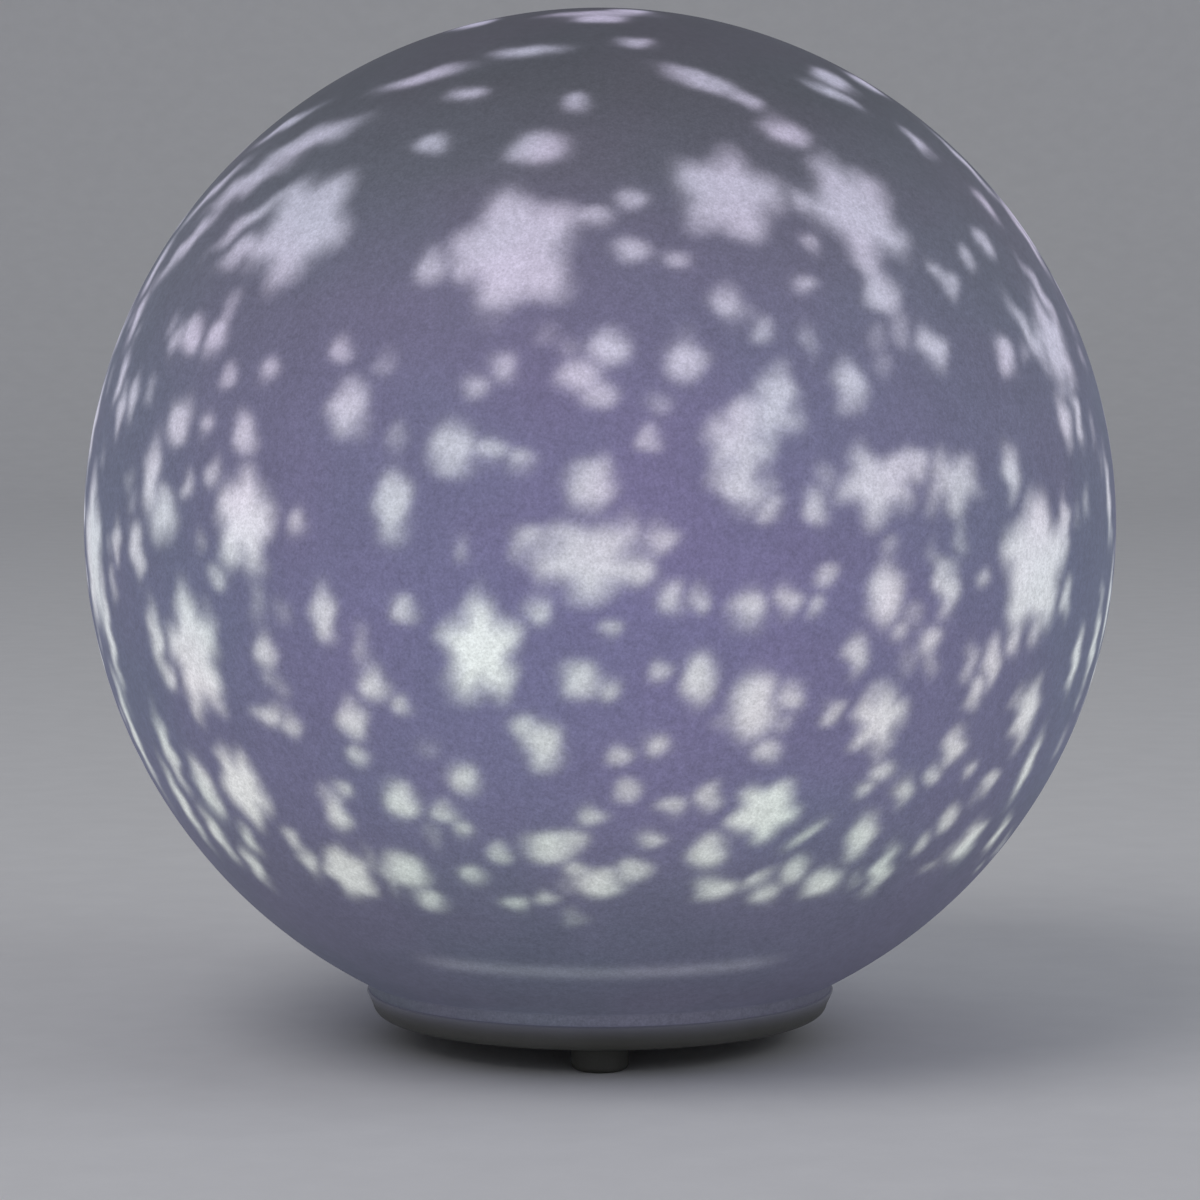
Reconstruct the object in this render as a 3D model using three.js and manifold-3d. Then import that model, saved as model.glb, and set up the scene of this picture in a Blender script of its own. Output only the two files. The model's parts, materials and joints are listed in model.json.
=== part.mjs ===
// Star globe lamp: a frosted ball on a low round base, with a turning star mask over a lamp inside.
// Millimetres, +Z up. The origin is on the floor under the middle of the lamp, and the front is -Y.

import * as THREE from 'three';
import { mergeVertices } from 'three/addons/utils/BufferGeometryUtils.js';
import Module from 'manifold-3d';

const wasm = await Module();
wasm.setup();

// ---------------------------------------------------------------- driving dimensions

const GAP = 0.3; // clearance between neighbouring pieces
const ROUND = 40; // facets around a large round piece
const SMALL_ROUND = 16; // facets around a small round piece

const GLOBE_RADIUS = 100;
const GLOBE_CENTRE_Z = 100.6;
const GLOBE_WALL = 2;
const COLLAR_RADIUS = 45.4; // straight collar under the ball
const NECK_RADIUS = 43.4; // inside of the collar
const COLLAR_FILLET = 1.2;

const TRAY_BOTTOM_Z = 4.8; // underside of the base, held up by the feet
const TRAY_TOP_Z = 9.8; // ledge that carries the ball
const TRAY_RADIUS = 45.8;
const TRAY_LOW_RADIUS = 44.7; // the wall leans in towards the floor
const TRAY_EDGE = 2.5; // rounding of the lower edge
const TRAY_FLOOR = 2.2;
const FLOOR_TOP_Z = TRAY_BOTTOM_Z + TRAY_FLOOR;
const SPIGOT_RADIUS = 42.6; // upstanding rim inside the collar
const SPIGOT_WALL = 2;
const SPIGOT_TOP_Z = 14;

const FOOT_RADIUS = 5.4;
const FOOT_RING_RADIUS = 35.5;
const FOOT_ANGLES = { foot_front: -90, foot_right: 30, foot_left: 150 };
const FOOT_SOCKET = 0.6; // depth of the round recess that each foot sits in
const FOOT_EDGE = 1.2;
const FOOT_STEM_RADIUS = 1.8;

const CELL_RADIUS = 7.25;
const CELL_LENGTH = 50.5; // an AA cell with its button
const CELL_BUTTON = 1.3;
const CELL_PITCH = 15;
const CELL_Z = 14.6;
const CELL_EDGE = 0.6;
const BUTTON_RADIUS = 2.75;
const CELLS = { cell_left: -1, cell_middle: 0, cell_right: 1 };

const BOX_HALF_X = 23.6;
const BOX_HALF_Y = 29.5;
const BOX_WALL = 1.2;
const BOX_BOTTOM_Z = 7.3;
const BOX_TOP_Z = 24;
const BOX_ROOF = 1.6;
const LEAD_HOLE_RADIUS = 1.2;

const PLATE_Y = BOX_HALF_Y - BOX_WALL - GAP; // outer face of the contact plates
const PLATE_THICKNESS = 0.4;
const PLATE_FACE_Y = PLATE_Y - PLATE_THICKNESS;
const BUTTON_TIP_Y = PLATE_FACE_Y - GAP;
const CELL_END_Y = CELL_LENGTH - BUTTON_TIP_Y; // flat end, on the side away from the button
const PLATE_HALF_Z = 5;
const SPRING_TURNS = 3.5;
const SPRING_WIRE = 0.35; // radius of the wire
const SPRING_WIDE = 4.4; // radius of the turn at the plate
const SPRING_NARROW = 2.5; // radius of the turn at the cell

const DOOR_HALF_X = 22.3;
const DOOR_BACK_Y = 26.9;
const DOOR_BOTTOM_Z = 5;
const DOOR_THICKNESS = 1.8;
const DOOR_HINGE_Y = -26;
const HINGE_Z = DOOR_BOTTOM_Z + DOOR_THICKNESS / 2;
const STUB_RADIUS = 0.6; // pivot stubs at the door's front corners
const STUB_LENGTH = 1.5;
const LATCH_HALF_X = 4;
const LATCH_THICKNESS = 1.6;
const LATCH_HEIGHT = 2.2;
const GRIP_GROOVES = 5;
const GRIP_PITCH = 1.6;
const GRIP_DEPTH = 0.4;

const SCREW_SHANK = 1;
const SCREW_HEAD_RADIUS = 2.4;
const SCREW_HEAD = 1.2;
const SCREW_EDGE = 0.5;
const CROSS_HALF_LENGTH = 1.3;
const CROSS_HALF_WIDTH = 0.25;
const CROSS_DEPTH = 0.6;
const SCREW_RECESS = 1.4; // depth of the round recess under each housing screw
const SCREW_BOSS = 2.6;
const HOUSING_SCREW_LENGTH = 12;
const SCREW_PLACES = {
  housing_screw_right: [31.5, 0],
  housing_screw_left: [-31.5, 0],
  housing_screw_rear: [-13, 32.3],
};

const SWITCH_Y = 33.9;
const SWITCH_HALF_X = 4.6;
const SWITCH_HALF_Y = 2.2;
const SWITCH_TOP_Z = 11;
const SWITCH_TRAVEL = 2; // each way from the middle place
const KNOB_HALF_X = 1.2;
const KNOB_HALF_Y = 0.8;
const KNOB_Z = [3.6, 9];

const HOUSING_RADIUS = 40;
const HOUSING_TOP_RADIUS = 38.5;
const HOUSING_WALL = 1.6;
const HOUSING_BOTTOM_Z = FLOOR_TOP_Z + GAP;
const HOUSING_TOP_Z = 39.5;
const HOUSING_TOP = 1.8;

const SHAFT_OFFSET = 7; // from the motor's middle to its shaft
const MOTOR_TURN = 82.5; // degrees, direction from the motor's middle to its shaft
const MOTOR_RADIUS = 13;
const MOTOR_EAR = 15.6; // from the motor's middle to each mounting hole
const MOTOR_EAR_RADIUS = 2.8;
const MOTOR_EAR_THICKNESS = 0.8;
const MOTOR_BOTTOM_Z = 25;
const MOTOR_TOP_Z = HOUSING_TOP_Z - HOUSING_TOP - GAP;
const MOTOR_BOSS_RADIUS = 4.2;
const MOTOR_BOSS = 1.5; // height of the raised boss round the shaft
const MOTOR_SCREW_LENGTH = 3;
const SHAFT_RADIUS = 2.2;
const SHAFT_BOTTOM_Z = MOTOR_TOP_Z - 5;
const PIN_RADIUS = 1.25;
const TUBE_RADIUS = 3.6; // fixed hollow tube that carries the lamp and the turning hub
const TUBE_BORE = 2.4;
const TUBE_TOP_Z = 56;
const TUBE_FLANGE_RADIUS = 6.5;
const TUBE_FLANGE = 1.5;

const GEAR_MODULE = 0.8;
const DRIVE_TEETH = 48; // gear that carries the mask
const IDLER_SMALL_TEETH = 12;
const IDLER_LARGE_TEETH = 30;
const PINION_TEETH = 12;
const MESH_SLACK = 0.1; // added to each pair's centre distance
const PINION_DIRECTION = -10; // degrees, seen from the idler's pin
const PRESSURE_ANGLE = 20;
const ADDENDUM = 0.85; // in modules: short teeth, so that small gears need no undercut
const DEDENDUM = 1.15;
const TOOTH_SHARE = 0.45; // tooth thickness over circular pitch, which leaves backlash
const LOWER_GEARS_Z = [40.3, 43.3]; // idler's large gear, and the pinion within it
const UPPER_GEARS_Z = [44, 46.8]; // drive gear
const HUB_Z = [40.6, 50];
const HUB_RADIUS = 7;
const HUB_BORE = TUBE_RADIUS + GAP;
const PEG_RADIUS = 1.2;
const PEG_RING_RADIUS = 13;
const PEG_ANGLES = [30, 150, 270];

const BOARD_Z = 26;
const BOARD_THICKNESS = 1.6;
const BOARD_X = [-30, -3];
const BOARD_Y = [-20, 12];
const BOARD_POSTS = [[-21, -17], [-6, -17], [-21, 9], [-6, 9]];

const LED_Z = 60;
const MASK_RADIUS = 30;
const MASK_WALL = 1.2;
const MASK_RIM_Z = 50.2;
const MASK_TRAY_Z = 47.1;

const MASK_TRAY_FLOOR = 1.8;
const MASK_TRAY_RADIUS = 31.5;
const MASK_TRAY_RIM = 0.9;
const STAR_WAIST = 0.24; // radius of a star's inner corners, as a share of its width

// Stars that the mask throws on the ball: azimuth from the front (towards +X) and height angle,
// both in degrees seen from the middle of the ball, then the star's width on the ball.
// The same group of stars is repeated on the rear half of the mask.
const STARS = [
  [-41, 35, 26], [-11, 31, 23], [17, 39, 22], [35, 37, 21], [21, 58, 15], [15, 13, 18], [0, 1, 18],
  [-12, -9, 16], [-39, 3, 16], [52, -2, 22], [28, 7, 15], [-48, -10, 17], [64, 22, 18],
  [19, -27, 13], [-45, -26, 15], [-73, -1, 18],
];

// ---------------------------------------------------------------- materials

const FINISHES = {
  frosted: { color: 0x7d7a92, roughness: 0.55, metalness: 0 },
  whitePlastic: { color: 0xe4e4ea, roughness: 0.4, metalness: 0 },
  whiteRubber: { color: 0xd8d8dc, roughness: 0.8, metalness: 0 },
  blackPlastic: { color: 0x17171a, roughness: 0.5, metalness: 0 },
  greyPlastic: { color: 0x8a8c92, roughness: 0.5, metalness: 0 },
  nylon: { color: 0xe9e4d4, roughness: 0.45, metalness: 0 },
  steel: { color: 0xb9bcc2, roughness: 0.35, metalness: 1 },
  zinc: { color: 0xc9ccd2, roughness: 0.45, metalness: 1 },
  brass: { color: 0xc8a24a, roughness: 0.35, metalness: 1 },
  aluminium: { color: 0xd5d7da, roughness: 0.4, metalness: 1 },
  circuitBoard: { color: 0x1d5c3a, roughness: 0.5, metalness: 0 },
  bluePlastic: { color: 0x2d5fa8, roughness: 0.45, metalness: 0 },
  clear: { color: 0xf3f3e6, roughness: 0.1, metalness: 0 },
  cellSleeve: { color: 0x3a6b54, roughness: 0.35, metalness: 0 },
  redWire: { color: 0xa81f1f, roughness: 0.5, metalness: 0 },
  blackWire: { color: 0x1c1c1e, roughness: 0.5, metalness: 0 },
};

const lamp = new THREE.Group();

function add(parent, name, geometry, finish, position = [0, 0, 0], turn = 0) {
  const mesh = new THREE.Mesh(geometry, new THREE.MeshStandardMaterial(FINISHES[finish]));
  mesh.name = name;
  mesh.position.set(...position);
  mesh.rotation.z = turn;
  parent.add(mesh);
  return mesh;
}

function subassembly(position = [0, 0, 0], turn = 0) {
  const group = new THREE.Group();
  group.position.set(...position);
  group.rotation.z = turn;
  lamp.add(group);
  return group;
}

// ---------------------------------------------------------------- geometry helpers

const radians = THREE.MathUtils.degToRad;

// A point at a radius and an angle in degrees around +Z.
function polar(radius, degrees) {
  return [radius * Math.cos(radians(degrees)), radius * Math.sin(radians(degrees))];
}

// Shaft places in plan, worked out from the gears.
const IDLER_DISTANCE = (GEAR_MODULE * (DRIVE_TEETH + IDLER_SMALL_TEETH)) / 2 + MESH_SLACK;
const PINION_DISTANCE = (GEAR_MODULE * (IDLER_LARGE_TEETH + PINION_TEETH)) / 2 + MESH_SLACK;
const IDLER = [0, IDLER_DISTANCE];
const PINION = polar(PINION_DISTANCE, PINION_DIRECTION).map((value, i) => value + IDLER[i]);

const MOTOR = polar(SHAFT_OFFSET, MOTOR_TURN).map((value, i) => PINION[i] - value);

// The motor's two ears, in lamp coordinates.
const MOTOR_EARS = [-90, 90].map((side) => {
  const [x, y] = polar(MOTOR_EAR, MOTOR_TURN + side);
  return [MOTOR[0] + x, MOTOR[1] + y];
});

// Leaves only merged positions and drops the flat triangles at a lathe's poles.
function plain(geometry) {
  const bare = new THREE.BufferGeometry();
  bare.setAttribute('position', geometry.getAttribute('position'));
  if (geometry.index) {
    bare.setIndex(geometry.index);
  }
  const merged = mergeVertices(bare, 1e-4);
  const source = merged.index.array;
  const kept = [];
  for (let i = 0; i < source.length; i += 3) {
    const [a, b, c] = source.slice(i, i + 3);
    if (a !== b && b !== c && c !== a) {
      kept.push(a, b, c);
    }
  }
  merged.setIndex(kept);
  return merged;
}

function toManifold(geometry) {
  const merged = plain(geometry);
  return new wasm.Manifold(new wasm.Mesh({
    numProp: 3,
    vertProperties: new Float32Array(merged.getAttribute('position').array),
    triVerts: new Uint32Array(merged.index.array),
  }));
}

function fromManifold(manifold) {
  const mesh = manifold.getMesh();
  const geometry = new THREE.BufferGeometry();
  geometry.setAttribute('position', new THREE.BufferAttribute(mesh.vertProperties, 3));
  geometry.setIndex(new THREE.BufferAttribute(mesh.triVerts, 1));
  return geometry;
}

function join(first, ...others) {
  const whole = others.reduce((sum, part) => sum.add(toManifold(part)), toManifold(first));
  return fromManifold(whole);
}

function cut(body, ...tools) {
  const rest = tools.reduce((left, tool) => left.subtract(toManifold(tool)), toManifold(body));
  return fromManifold(rest);
}

// Revolves [radius, height] points about +Z. They run counterclockwise around the material.
function revolve(points, facets = ROUND) {
  const profile = points.map(([radius, height]) => new THREE.Vector2(radius, height));
  return plain(new THREE.LatheGeometry(profile, facets).rotateX(Math.PI / 2));
}

// Points of an arc in the [radius, height] plane, angles in degrees, both ends included.
function arc(centreRadius, centreHeight, radius, from, to, steps) {
  const points = [];
  for (let i = 0; i <= steps; i += 1) {
    const [dr, dz] = polar(radius, from + ((to - from) * i) / steps);
    points.push([centreRadius + dr, centreHeight + dz]);
  }
  return points;
}

function disc(radius, bottom, top, facets = SMALL_ROUND) {
  return revolve([[0, bottom], [radius, bottom], [radius, top], [0, top]], facets);
}

function ring(inner, outer, bottom, top, facets = ROUND) {
  const section = [[inner, bottom], [outer, bottom], [outer, top], [inner, top], [inner, bottom]];
  return revolve(section, facets);
}

function block([x0, x1], [y0, y1], [z0, z1]) {
  const geometry = new THREE.BoxGeometry(x1 - x0, y1 - y0, z1 - z0);
  geometry.translate((x0 + x1) / 2, (y0 + y1) / 2, (z0 + z1) / 2);
  return geometry;
}

function extrude(outline, bottom, top) {
  const shape = new THREE.Shape(outline.map(([x, y]) => new THREE.Vector2(x, y)));
  const geometry = new THREE.ExtrudeGeometry(shape, { depth: top - bottom, bevelEnabled: false });
  geometry.translate(0, 0, bottom);
  return geometry;
}

// Extrudes an outline of [y, z] points along X.
function extrudeAlongX(outline, left, right) {
  const axes = [[0, 1, 0], [0, 0, 1], [1, 0, 0]].map((axis) => new THREE.Vector3(...axis));
  return extrude(outline, left, right).applyMatrix4(new THREE.Matrix4().makeBasis(...axes));
}

// A round bar along a smooth curve through the given points.
function bar(points, radius, steps, sides = 8) {
  const section = new THREE.Shape();
  for (let i = 0; i < sides; i += 1) {
    const [x, y] = polar(radius, (360 * i) / sides);
    if (i === 0) {
      section.moveTo(x, y);
    } else {
      section.lineTo(x, y);
    }
  }
  const path = new THREE.CatmullRomCurve3(points.map((point) => new THREE.Vector3(...point)));
  return new THREE.ExtrudeGeometry(section, { steps, extrudePath: path, bevelEnabled: false });
}

// ---------------------------------------------------------------- globe

function globeGeometry() {
  const inner = GLOBE_RADIUS - GLOBE_WALL;
  const angleOn = (radius, at) => -Math.acos(at / radius) * THREE.MathUtils.RAD2DEG;
  const joinRadius = COLLAR_RADIUS + COLLAR_FILLET;
  const joinAngle = angleOn(GLOBE_RADIUS, joinRadius);
  const joinZ = GLOBE_CENTRE_Z + polar(GLOBE_RADIUS, joinAngle)[1];
  const collarBottom = TRAY_TOP_Z + GAP;
  return revolve([
    [NECK_RADIUS, collarBottom],
    [COLLAR_RADIUS, collarBottom],
    [COLLAR_RADIUS, joinZ - COLLAR_FILLET / 2],
    [COLLAR_RADIUS + COLLAR_FILLET / 3, joinZ - COLLAR_FILLET / 4],
    ...arc(0, GLOBE_CENTRE_Z, GLOBE_RADIUS, joinAngle, 0, 8),
    ...arc(0, GLOBE_CENTRE_Z, GLOBE_RADIUS, 0, 90, 10).slice(1),
    ...arc(0, GLOBE_CENTRE_Z, inner, 90, angleOn(inner, NECK_RADIUS), 14),
    [NECK_RADIUS, collarBottom],
  ]);
}

add(lamp, 'globe', globeGeometry(), 'frosted');

// ---------------------------------------------------------------- base tray and feet

function trayGeometry() {
  const edgeCentre = TRAY_LOW_RADIUS - TRAY_EDGE;
  const spigotInside = SPIGOT_RADIUS - SPIGOT_WALL;
  const shell = revolve([
    [0, TRAY_BOTTOM_Z],
    ...arc(edgeCentre, TRAY_BOTTOM_Z + TRAY_EDGE, TRAY_EDGE, -90, -8, 4),
    [TRAY_RADIUS, TRAY_TOP_Z],
    [SPIGOT_RADIUS, TRAY_TOP_Z],
    [SPIGOT_RADIUS, SPIGOT_TOP_Z],
    [spigotInside, SPIGOT_TOP_Z],
    [spigotInside, FLOOR_TOP_Z],
    [0, FLOOR_TOP_Z],
  ]);

  const below = TRAY_BOTTOM_Z - 1;
  const above = FLOOR_TOP_Z + 1;
  const doorHalfX = DOOR_HALF_X + GAP;
  const frontY = -(DOOR_BACK_Y + GAP);
  const opening = block([-doorHalfX, doorHalfX], [frontY, DOOR_BACK_Y + GAP], [below, above]);
  const slotX = DOOR_HALF_X + STUB_LENGTH + GAP;
  const slotY = [DOOR_HINGE_Y - 1, DOOR_HINGE_Y + 1];
  const stubSlot = block([-slotX, slotX], slotY, [TRAY_BOTTOM_Z + GAP, above]);
  const fingerNotch = block([-7, 7], [DOOR_BACK_Y, DOOR_BACK_Y + 3], [below, TRAY_BOTTOM_Z + 1]);

  const knobX = KNOB_HALF_X + SWITCH_TRAVEL + GAP;
  const knobY = [SWITCH_Y - KNOB_HALF_Y - GAP, SWITCH_Y + KNOB_HALF_Y + GAP];
  const knobSlot = block([-knobX, knobX], knobY, [below, above]);

  const holes = [];
  for (const [x, y] of Object.values(SCREW_PLACES)) {
    const headRoom = disc(SCREW_HEAD_RADIUS + GAP, below, TRAY_BOTTOM_Z + SCREW_RECESS);
    holes.push(disc(SCREW_SHANK + GAP, below, above, 12).translate(x, y, 0));
    holes.push(headRoom.translate(x, y, 0));
  }
  for (const angle of Object.values(FOOT_ANGLES)) {
    const [x, y] = polar(FOOT_RING_RADIUS, angle);
    const socket = disc(FOOT_RADIUS + GAP, below, TRAY_BOTTOM_Z + FOOT_SOCKET);
    holes.push(socket.translate(x, y, 0));
    holes.push(disc(FOOT_STEM_RADIUS + GAP, below, above, 12).translate(x, y, 0));
  }
  return cut(shell, opening, stubSlot, fingerNotch, knobSlot, ...holes);
}

function footGeometry() {
  const top = TRAY_BOTTOM_Z + FOOT_SOCKET - GAP;
  return revolve([
    [0, 0],
    ...arc(FOOT_RADIUS - FOOT_EDGE, FOOT_EDGE, FOOT_EDGE, -90, 0, 3),
    [FOOT_RADIUS, top],
    [FOOT_STEM_RADIUS, top],
    [FOOT_STEM_RADIUS, FLOOR_TOP_Z],
    [0, FLOOR_TOP_Z],
  ], 24);
}

add(lamp, 'base_tray', trayGeometry(), 'whitePlastic');
for (const [name, angle] of Object.entries(FOOT_ANGLES)) {
  const [x, y] = polar(FOOT_RING_RADIUS, angle);
  add(lamp, name, footGeometry(), 'whiteRubber', [x, y, 0]);
}

// ---------------------------------------------------------------- screws

// A pan-head screw with its head down and its shank along +Z, with a cross recess in the head.
function screwGeometry(shankLength) {
  const body = revolve([
    [0, 0],
    [SCREW_HEAD_RADIUS - SCREW_EDGE, 0],
    [SCREW_HEAD_RADIUS, SCREW_EDGE],
    [SCREW_HEAD_RADIUS, SCREW_HEAD],
    [SCREW_SHANK, SCREW_HEAD],
    [SCREW_SHANK, SCREW_HEAD + shankLength - SCREW_SHANK],
    [0, SCREW_HEAD + shankLength],
  ], 12);
  const length = [-CROSS_HALF_LENGTH, CROSS_HALF_LENGTH];
  const width = [-CROSS_HALF_WIDTH, CROSS_HALF_WIDTH];
  const along = block(length, width, [-1, CROSS_DEPTH]);
  const across = block(width, length, [-1, CROSS_DEPTH]);
  return cut(body, along, across);
}

for (const [name, [x, y]] of Object.entries(SCREW_PLACES)) {
  const headZ = TRAY_BOTTOM_Z + SCREW_RECESS - GAP - SCREW_HEAD;
  add(lamp, name, screwGeometry(HOUSING_SCREW_LENGTH), 'steel', [x, y, headZ], radians(25));
}

// ---------------------------------------------------------------- battery door

function doorGeometry() {
  const top = DOOR_BOTTOM_Z + DOOR_THICKNESS;
  const knuckle = arc(DOOR_HINGE_Y, HINGE_Z, DOOR_THICKNESS / 2, 90, 270, 8);
  const section = [...knuckle, [DOOR_BACK_Y, DOOR_BOTTOM_Z], [DOOR_BACK_Y, top]];
  const plate = extrudeAlongX(section, -DOOR_HALF_X, DOOR_HALF_X);
  const stubEnd = DOOR_HALF_X + STUB_LENGTH;
  const stub = disc(STUB_RADIUS, -stubEnd, stubEnd, 12).rotateY(Math.PI / 2);
  stub.translate(0, DOOR_HINGE_Y, HINGE_Z);
  const latchBack = DOOR_BACK_Y - 0.2;
  const latchY = [latchBack - LATCH_THICKNESS, latchBack];
  const latch = block([-LATCH_HALF_X, LATCH_HALF_X], latchY, [top - 0.5, top + LATCH_HEIGHT]);
  const grooves = [];
  for (let i = 0; i < GRIP_GROOVES; i += 1) {
    const y = DOOR_BACK_Y - GRIP_PITCH * (i + 2);
    const depth = [DOOR_BOTTOM_Z - 1, DOOR_BOTTOM_Z + GRIP_DEPTH];
    grooves.push(block([-6, 6], [y - GRIP_PITCH / 4, y + GRIP_PITCH / 4], depth));
  }
  return cut(join(plate, stub, latch), ...grooves);
}

add(lamp, 'battery_door', doorGeometry(), 'whitePlastic');

// ---------------------------------------------------------------- cells, box and contacts

// One cell along Y with its button towards +Y.
function cellGeometry() {
  const shoulder = BUTTON_TIP_Y - CELL_BUTTON;
  const outline = [
    [0, -CELL_END_Y],
    [CELL_RADIUS - CELL_EDGE, -CELL_END_Y],
    [CELL_RADIUS, CELL_EDGE - CELL_END_Y],
    [CELL_RADIUS, shoulder - CELL_EDGE],
    [CELL_RADIUS - CELL_EDGE, shoulder],
    [BUTTON_RADIUS, shoulder],
    [BUTTON_RADIUS, BUTTON_TIP_Y],
    [0, BUTTON_TIP_Y],
  ];
  return revolve(outline, 16).rotateX(-Math.PI / 2);
}

// A conical spring along Y, its wide turn at the plate and its narrow one at the cell.
function springGeometry() {
  const start = PLATE_FACE_Y - GAP - SPRING_WIRE;
  const end = CELL_END_Y + GAP + SPRING_WIRE;
  const count = 28;
  const points = [];
  for (let i = 0; i <= count; i += 1) {
    const part = i / count;
    const radius = SPRING_WIDE + (SPRING_NARROW - SPRING_WIDE) * part;
    const [x, z] = polar(radius, 360 * SPRING_TURNS * part);
    points.push([x, start + (end - start) * part, z]);
  }
  return bar(points, SPRING_WIRE, 32, 5);
}

function batteryBoxGeometry() {
  const boxZ = [BOX_BOTTOM_Z, BOX_TOP_Z];
  const shell = block([-BOX_HALF_X, BOX_HALF_X], [-BOX_HALF_Y, BOX_HALF_Y], boxZ);
  const insideX = BOX_HALF_X - BOX_WALL;
  const insideY = BOX_HALF_Y - BOX_WALL;
  const roomZ = [BOX_BOTTOM_Z - 1, BOX_TOP_Z - BOX_ROOF];
  const room = block([-insideX, insideX], [-insideY, insideY], roomZ);
  const leadHoles = [-1, 1].map((side) => {
    const hole = disc(LEAD_HOLE_RADIUS, BOX_TOP_Z - BOX_ROOF - 1, BOX_TOP_Z + 1, 12);
    return hole.translate(side * CELL_PITCH, -side * (PLATE_FACE_Y - LEAD_HOLE_RADIUS), 0);
  });
  const posts = BOARD_POSTS.map(([x, y]) => {
    return disc(1.5, BOX_TOP_Z - 1, BOARD_Z - GAP, 12).translate(x, y, 0);
  });
  return cut(join(shell, ...posts), room, ...leadHoles);
}

const power = subassembly();
add(power, 'battery_box', batteryBoxGeometry(), 'blackPlastic');
for (const [name, place] of Object.entries(CELLS)) {
  // The middle cell faces the other way, and each spring is at its cell's flat end.
  const middle = place === 0;
  const position = [place * CELL_PITCH, 0, CELL_Z];
  add(power, name, cellGeometry(), 'cellSleeve', position, middle ? Math.PI : 0);
  const springName = name.replace('cell', 'spring');
  add(power, springName, springGeometry(), 'steel', position, middle ? 0 : Math.PI);
}

// Flat contact plates at both ends, for three cells in series.
const CONTACTS = {
  contact_bridge_front: { ends: [-20, 5], side: -1 },
  contact_minus: { ends: [10, 20], side: -1 },
  contact_plus: { ends: [-20, -10], side: 1 },
  contact_bridge_rear: { ends: [-5, 20], side: 1 },
};
for (const [name, { ends, side }] of Object.entries(CONTACTS)) {
  const faces = [side * PLATE_FACE_Y, side * PLATE_Y].sort((a, b) => a - b);
  const plate = block(ends, faces, [CELL_Z - PLATE_HALF_Z, CELL_Z + PLATE_HALF_Z]);
  add(power, name, plate, 'zinc');
}

// ---------------------------------------------------------------- housing over the cells

function housingGeometry() {
  const roof = HOUSING_TOP_Z - HOUSING_TOP;
  const shell = revolve([
    [HOUSING_RADIUS - HOUSING_WALL, HOUSING_BOTTOM_Z],
    [HOUSING_RADIUS, HOUSING_BOTTOM_Z],
    [HOUSING_RADIUS, BOX_TOP_Z],
    [HOUSING_TOP_RADIUS, HOUSING_TOP_Z - 1],
    [HOUSING_TOP_RADIUS - 1, HOUSING_TOP_Z],
    [0, HOUSING_TOP_Z],
    [0, roof],
    [HOUSING_TOP_RADIUS - HOUSING_WALL, roof],
    [HOUSING_RADIUS - HOUSING_WALL, BOX_TOP_Z],
    [HOUSING_RADIUS - HOUSING_WALL, HOUSING_BOTTOM_Z],
  ]);

  const bosses = [];
  const holes = [];
  const bossTop = HOUSING_BOTTOM_Z + HOUSING_SCREW_LENGTH + 1;
  for (const [x, y] of Object.values(SCREW_PLACES)) {
    const reach = HOUSING_RADIUS - HOUSING_WALL / 2;
    const rib = block([Math.hypot(x, y), reach], [-0.8, 0.8], [HOUSING_BOTTOM_Z, bossTop]);
    bosses.push(disc(SCREW_BOSS, HOUSING_BOTTOM_Z, bossTop, 12).translate(x, y, 0));
    bosses.push(rib.rotateZ(Math.atan2(y, x)));
    holes.push(disc(SCREW_SHANK + GAP, 0, bossTop - 0.5, 12).translate(x, y, 0));
  }

  const through = [roof - 1, HOUSING_TOP_Z + 1];
  holes.push(disc(TUBE_RADIUS + GAP, ...through));
  holes.push(disc(PIN_RADIUS + GAP, ...through, 12).translate(...IDLER, 0));
  holes.push(disc(MOTOR_BOSS_RADIUS + GAP, ...through).translate(...PINION, 0));
  for (const [x, y] of MOTOR_EARS) {
    holes.push(disc(SCREW_SHANK + GAP, ...through, 12).translate(x, y, 0));
  }
  return cut(join(shell, ...bosses), ...holes);
}

add(lamp, 'tower_housing', housingGeometry(), 'whitePlastic');

// ---------------------------------------------------------------- geared motor

function motorCanGeometry() {
  const can = revolve([
    [0, MOTOR_BOTTOM_Z],
    [MOTOR_RADIUS - 1, MOTOR_BOTTOM_Z],
    [MOTOR_RADIUS, MOTOR_BOTTOM_Z + 1],
    [MOTOR_RADIUS, MOTOR_TOP_Z],
    [0, MOTOR_TOP_Z],
  ], 36);
  const earZ = [MOTOR_TOP_Z - MOTOR_EAR_THICKNESS, MOTOR_TOP_Z];
  const strapX = [-MOTOR_EAR_RADIUS, MOTOR_EAR_RADIUS];
  const strap = block(strapX, [-MOTOR_EAR, MOTOR_EAR], earZ);
  const earEnds = [-1, 1].map((side) => {
    return disc(MOTOR_EAR_RADIUS, ...earZ).translate(0, side * MOTOR_EAR, 0);
  });
  const boss = disc(MOTOR_BOSS_RADIUS, MOTOR_TOP_Z - 1, MOTOR_TOP_Z + MOTOR_BOSS);
  const bore = disc(SHAFT_RADIUS + GAP, SHAFT_BOTTOM_Z - GAP, HOUSING_TOP_Z);
  const holes = [-1, 1].map((side) => {
    return disc(SCREW_SHANK + GAP, 0, HOUSING_TOP_Z, 12).translate(0, side * MOTOR_EAR, 0);
  });
  const body = join(can, strap, ...earEnds, boss.translate(SHAFT_OFFSET, 0, 0));
  return cut(body, bore.translate(SHAFT_OFFSET, 0, 0), ...holes);
}

const motor = subassembly([...MOTOR, 0], radians(MOTOR_TURN));
add(motor, 'motor_can', motorCanGeometry(), 'zinc');
const wireCover = block([-MOTOR_RADIUS - 3, -MOTOR_RADIUS - GAP], [-6, 6], [27, 34]);
add(motor, 'motor_wire_cover', wireCover, 'bluePlastic');

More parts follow.
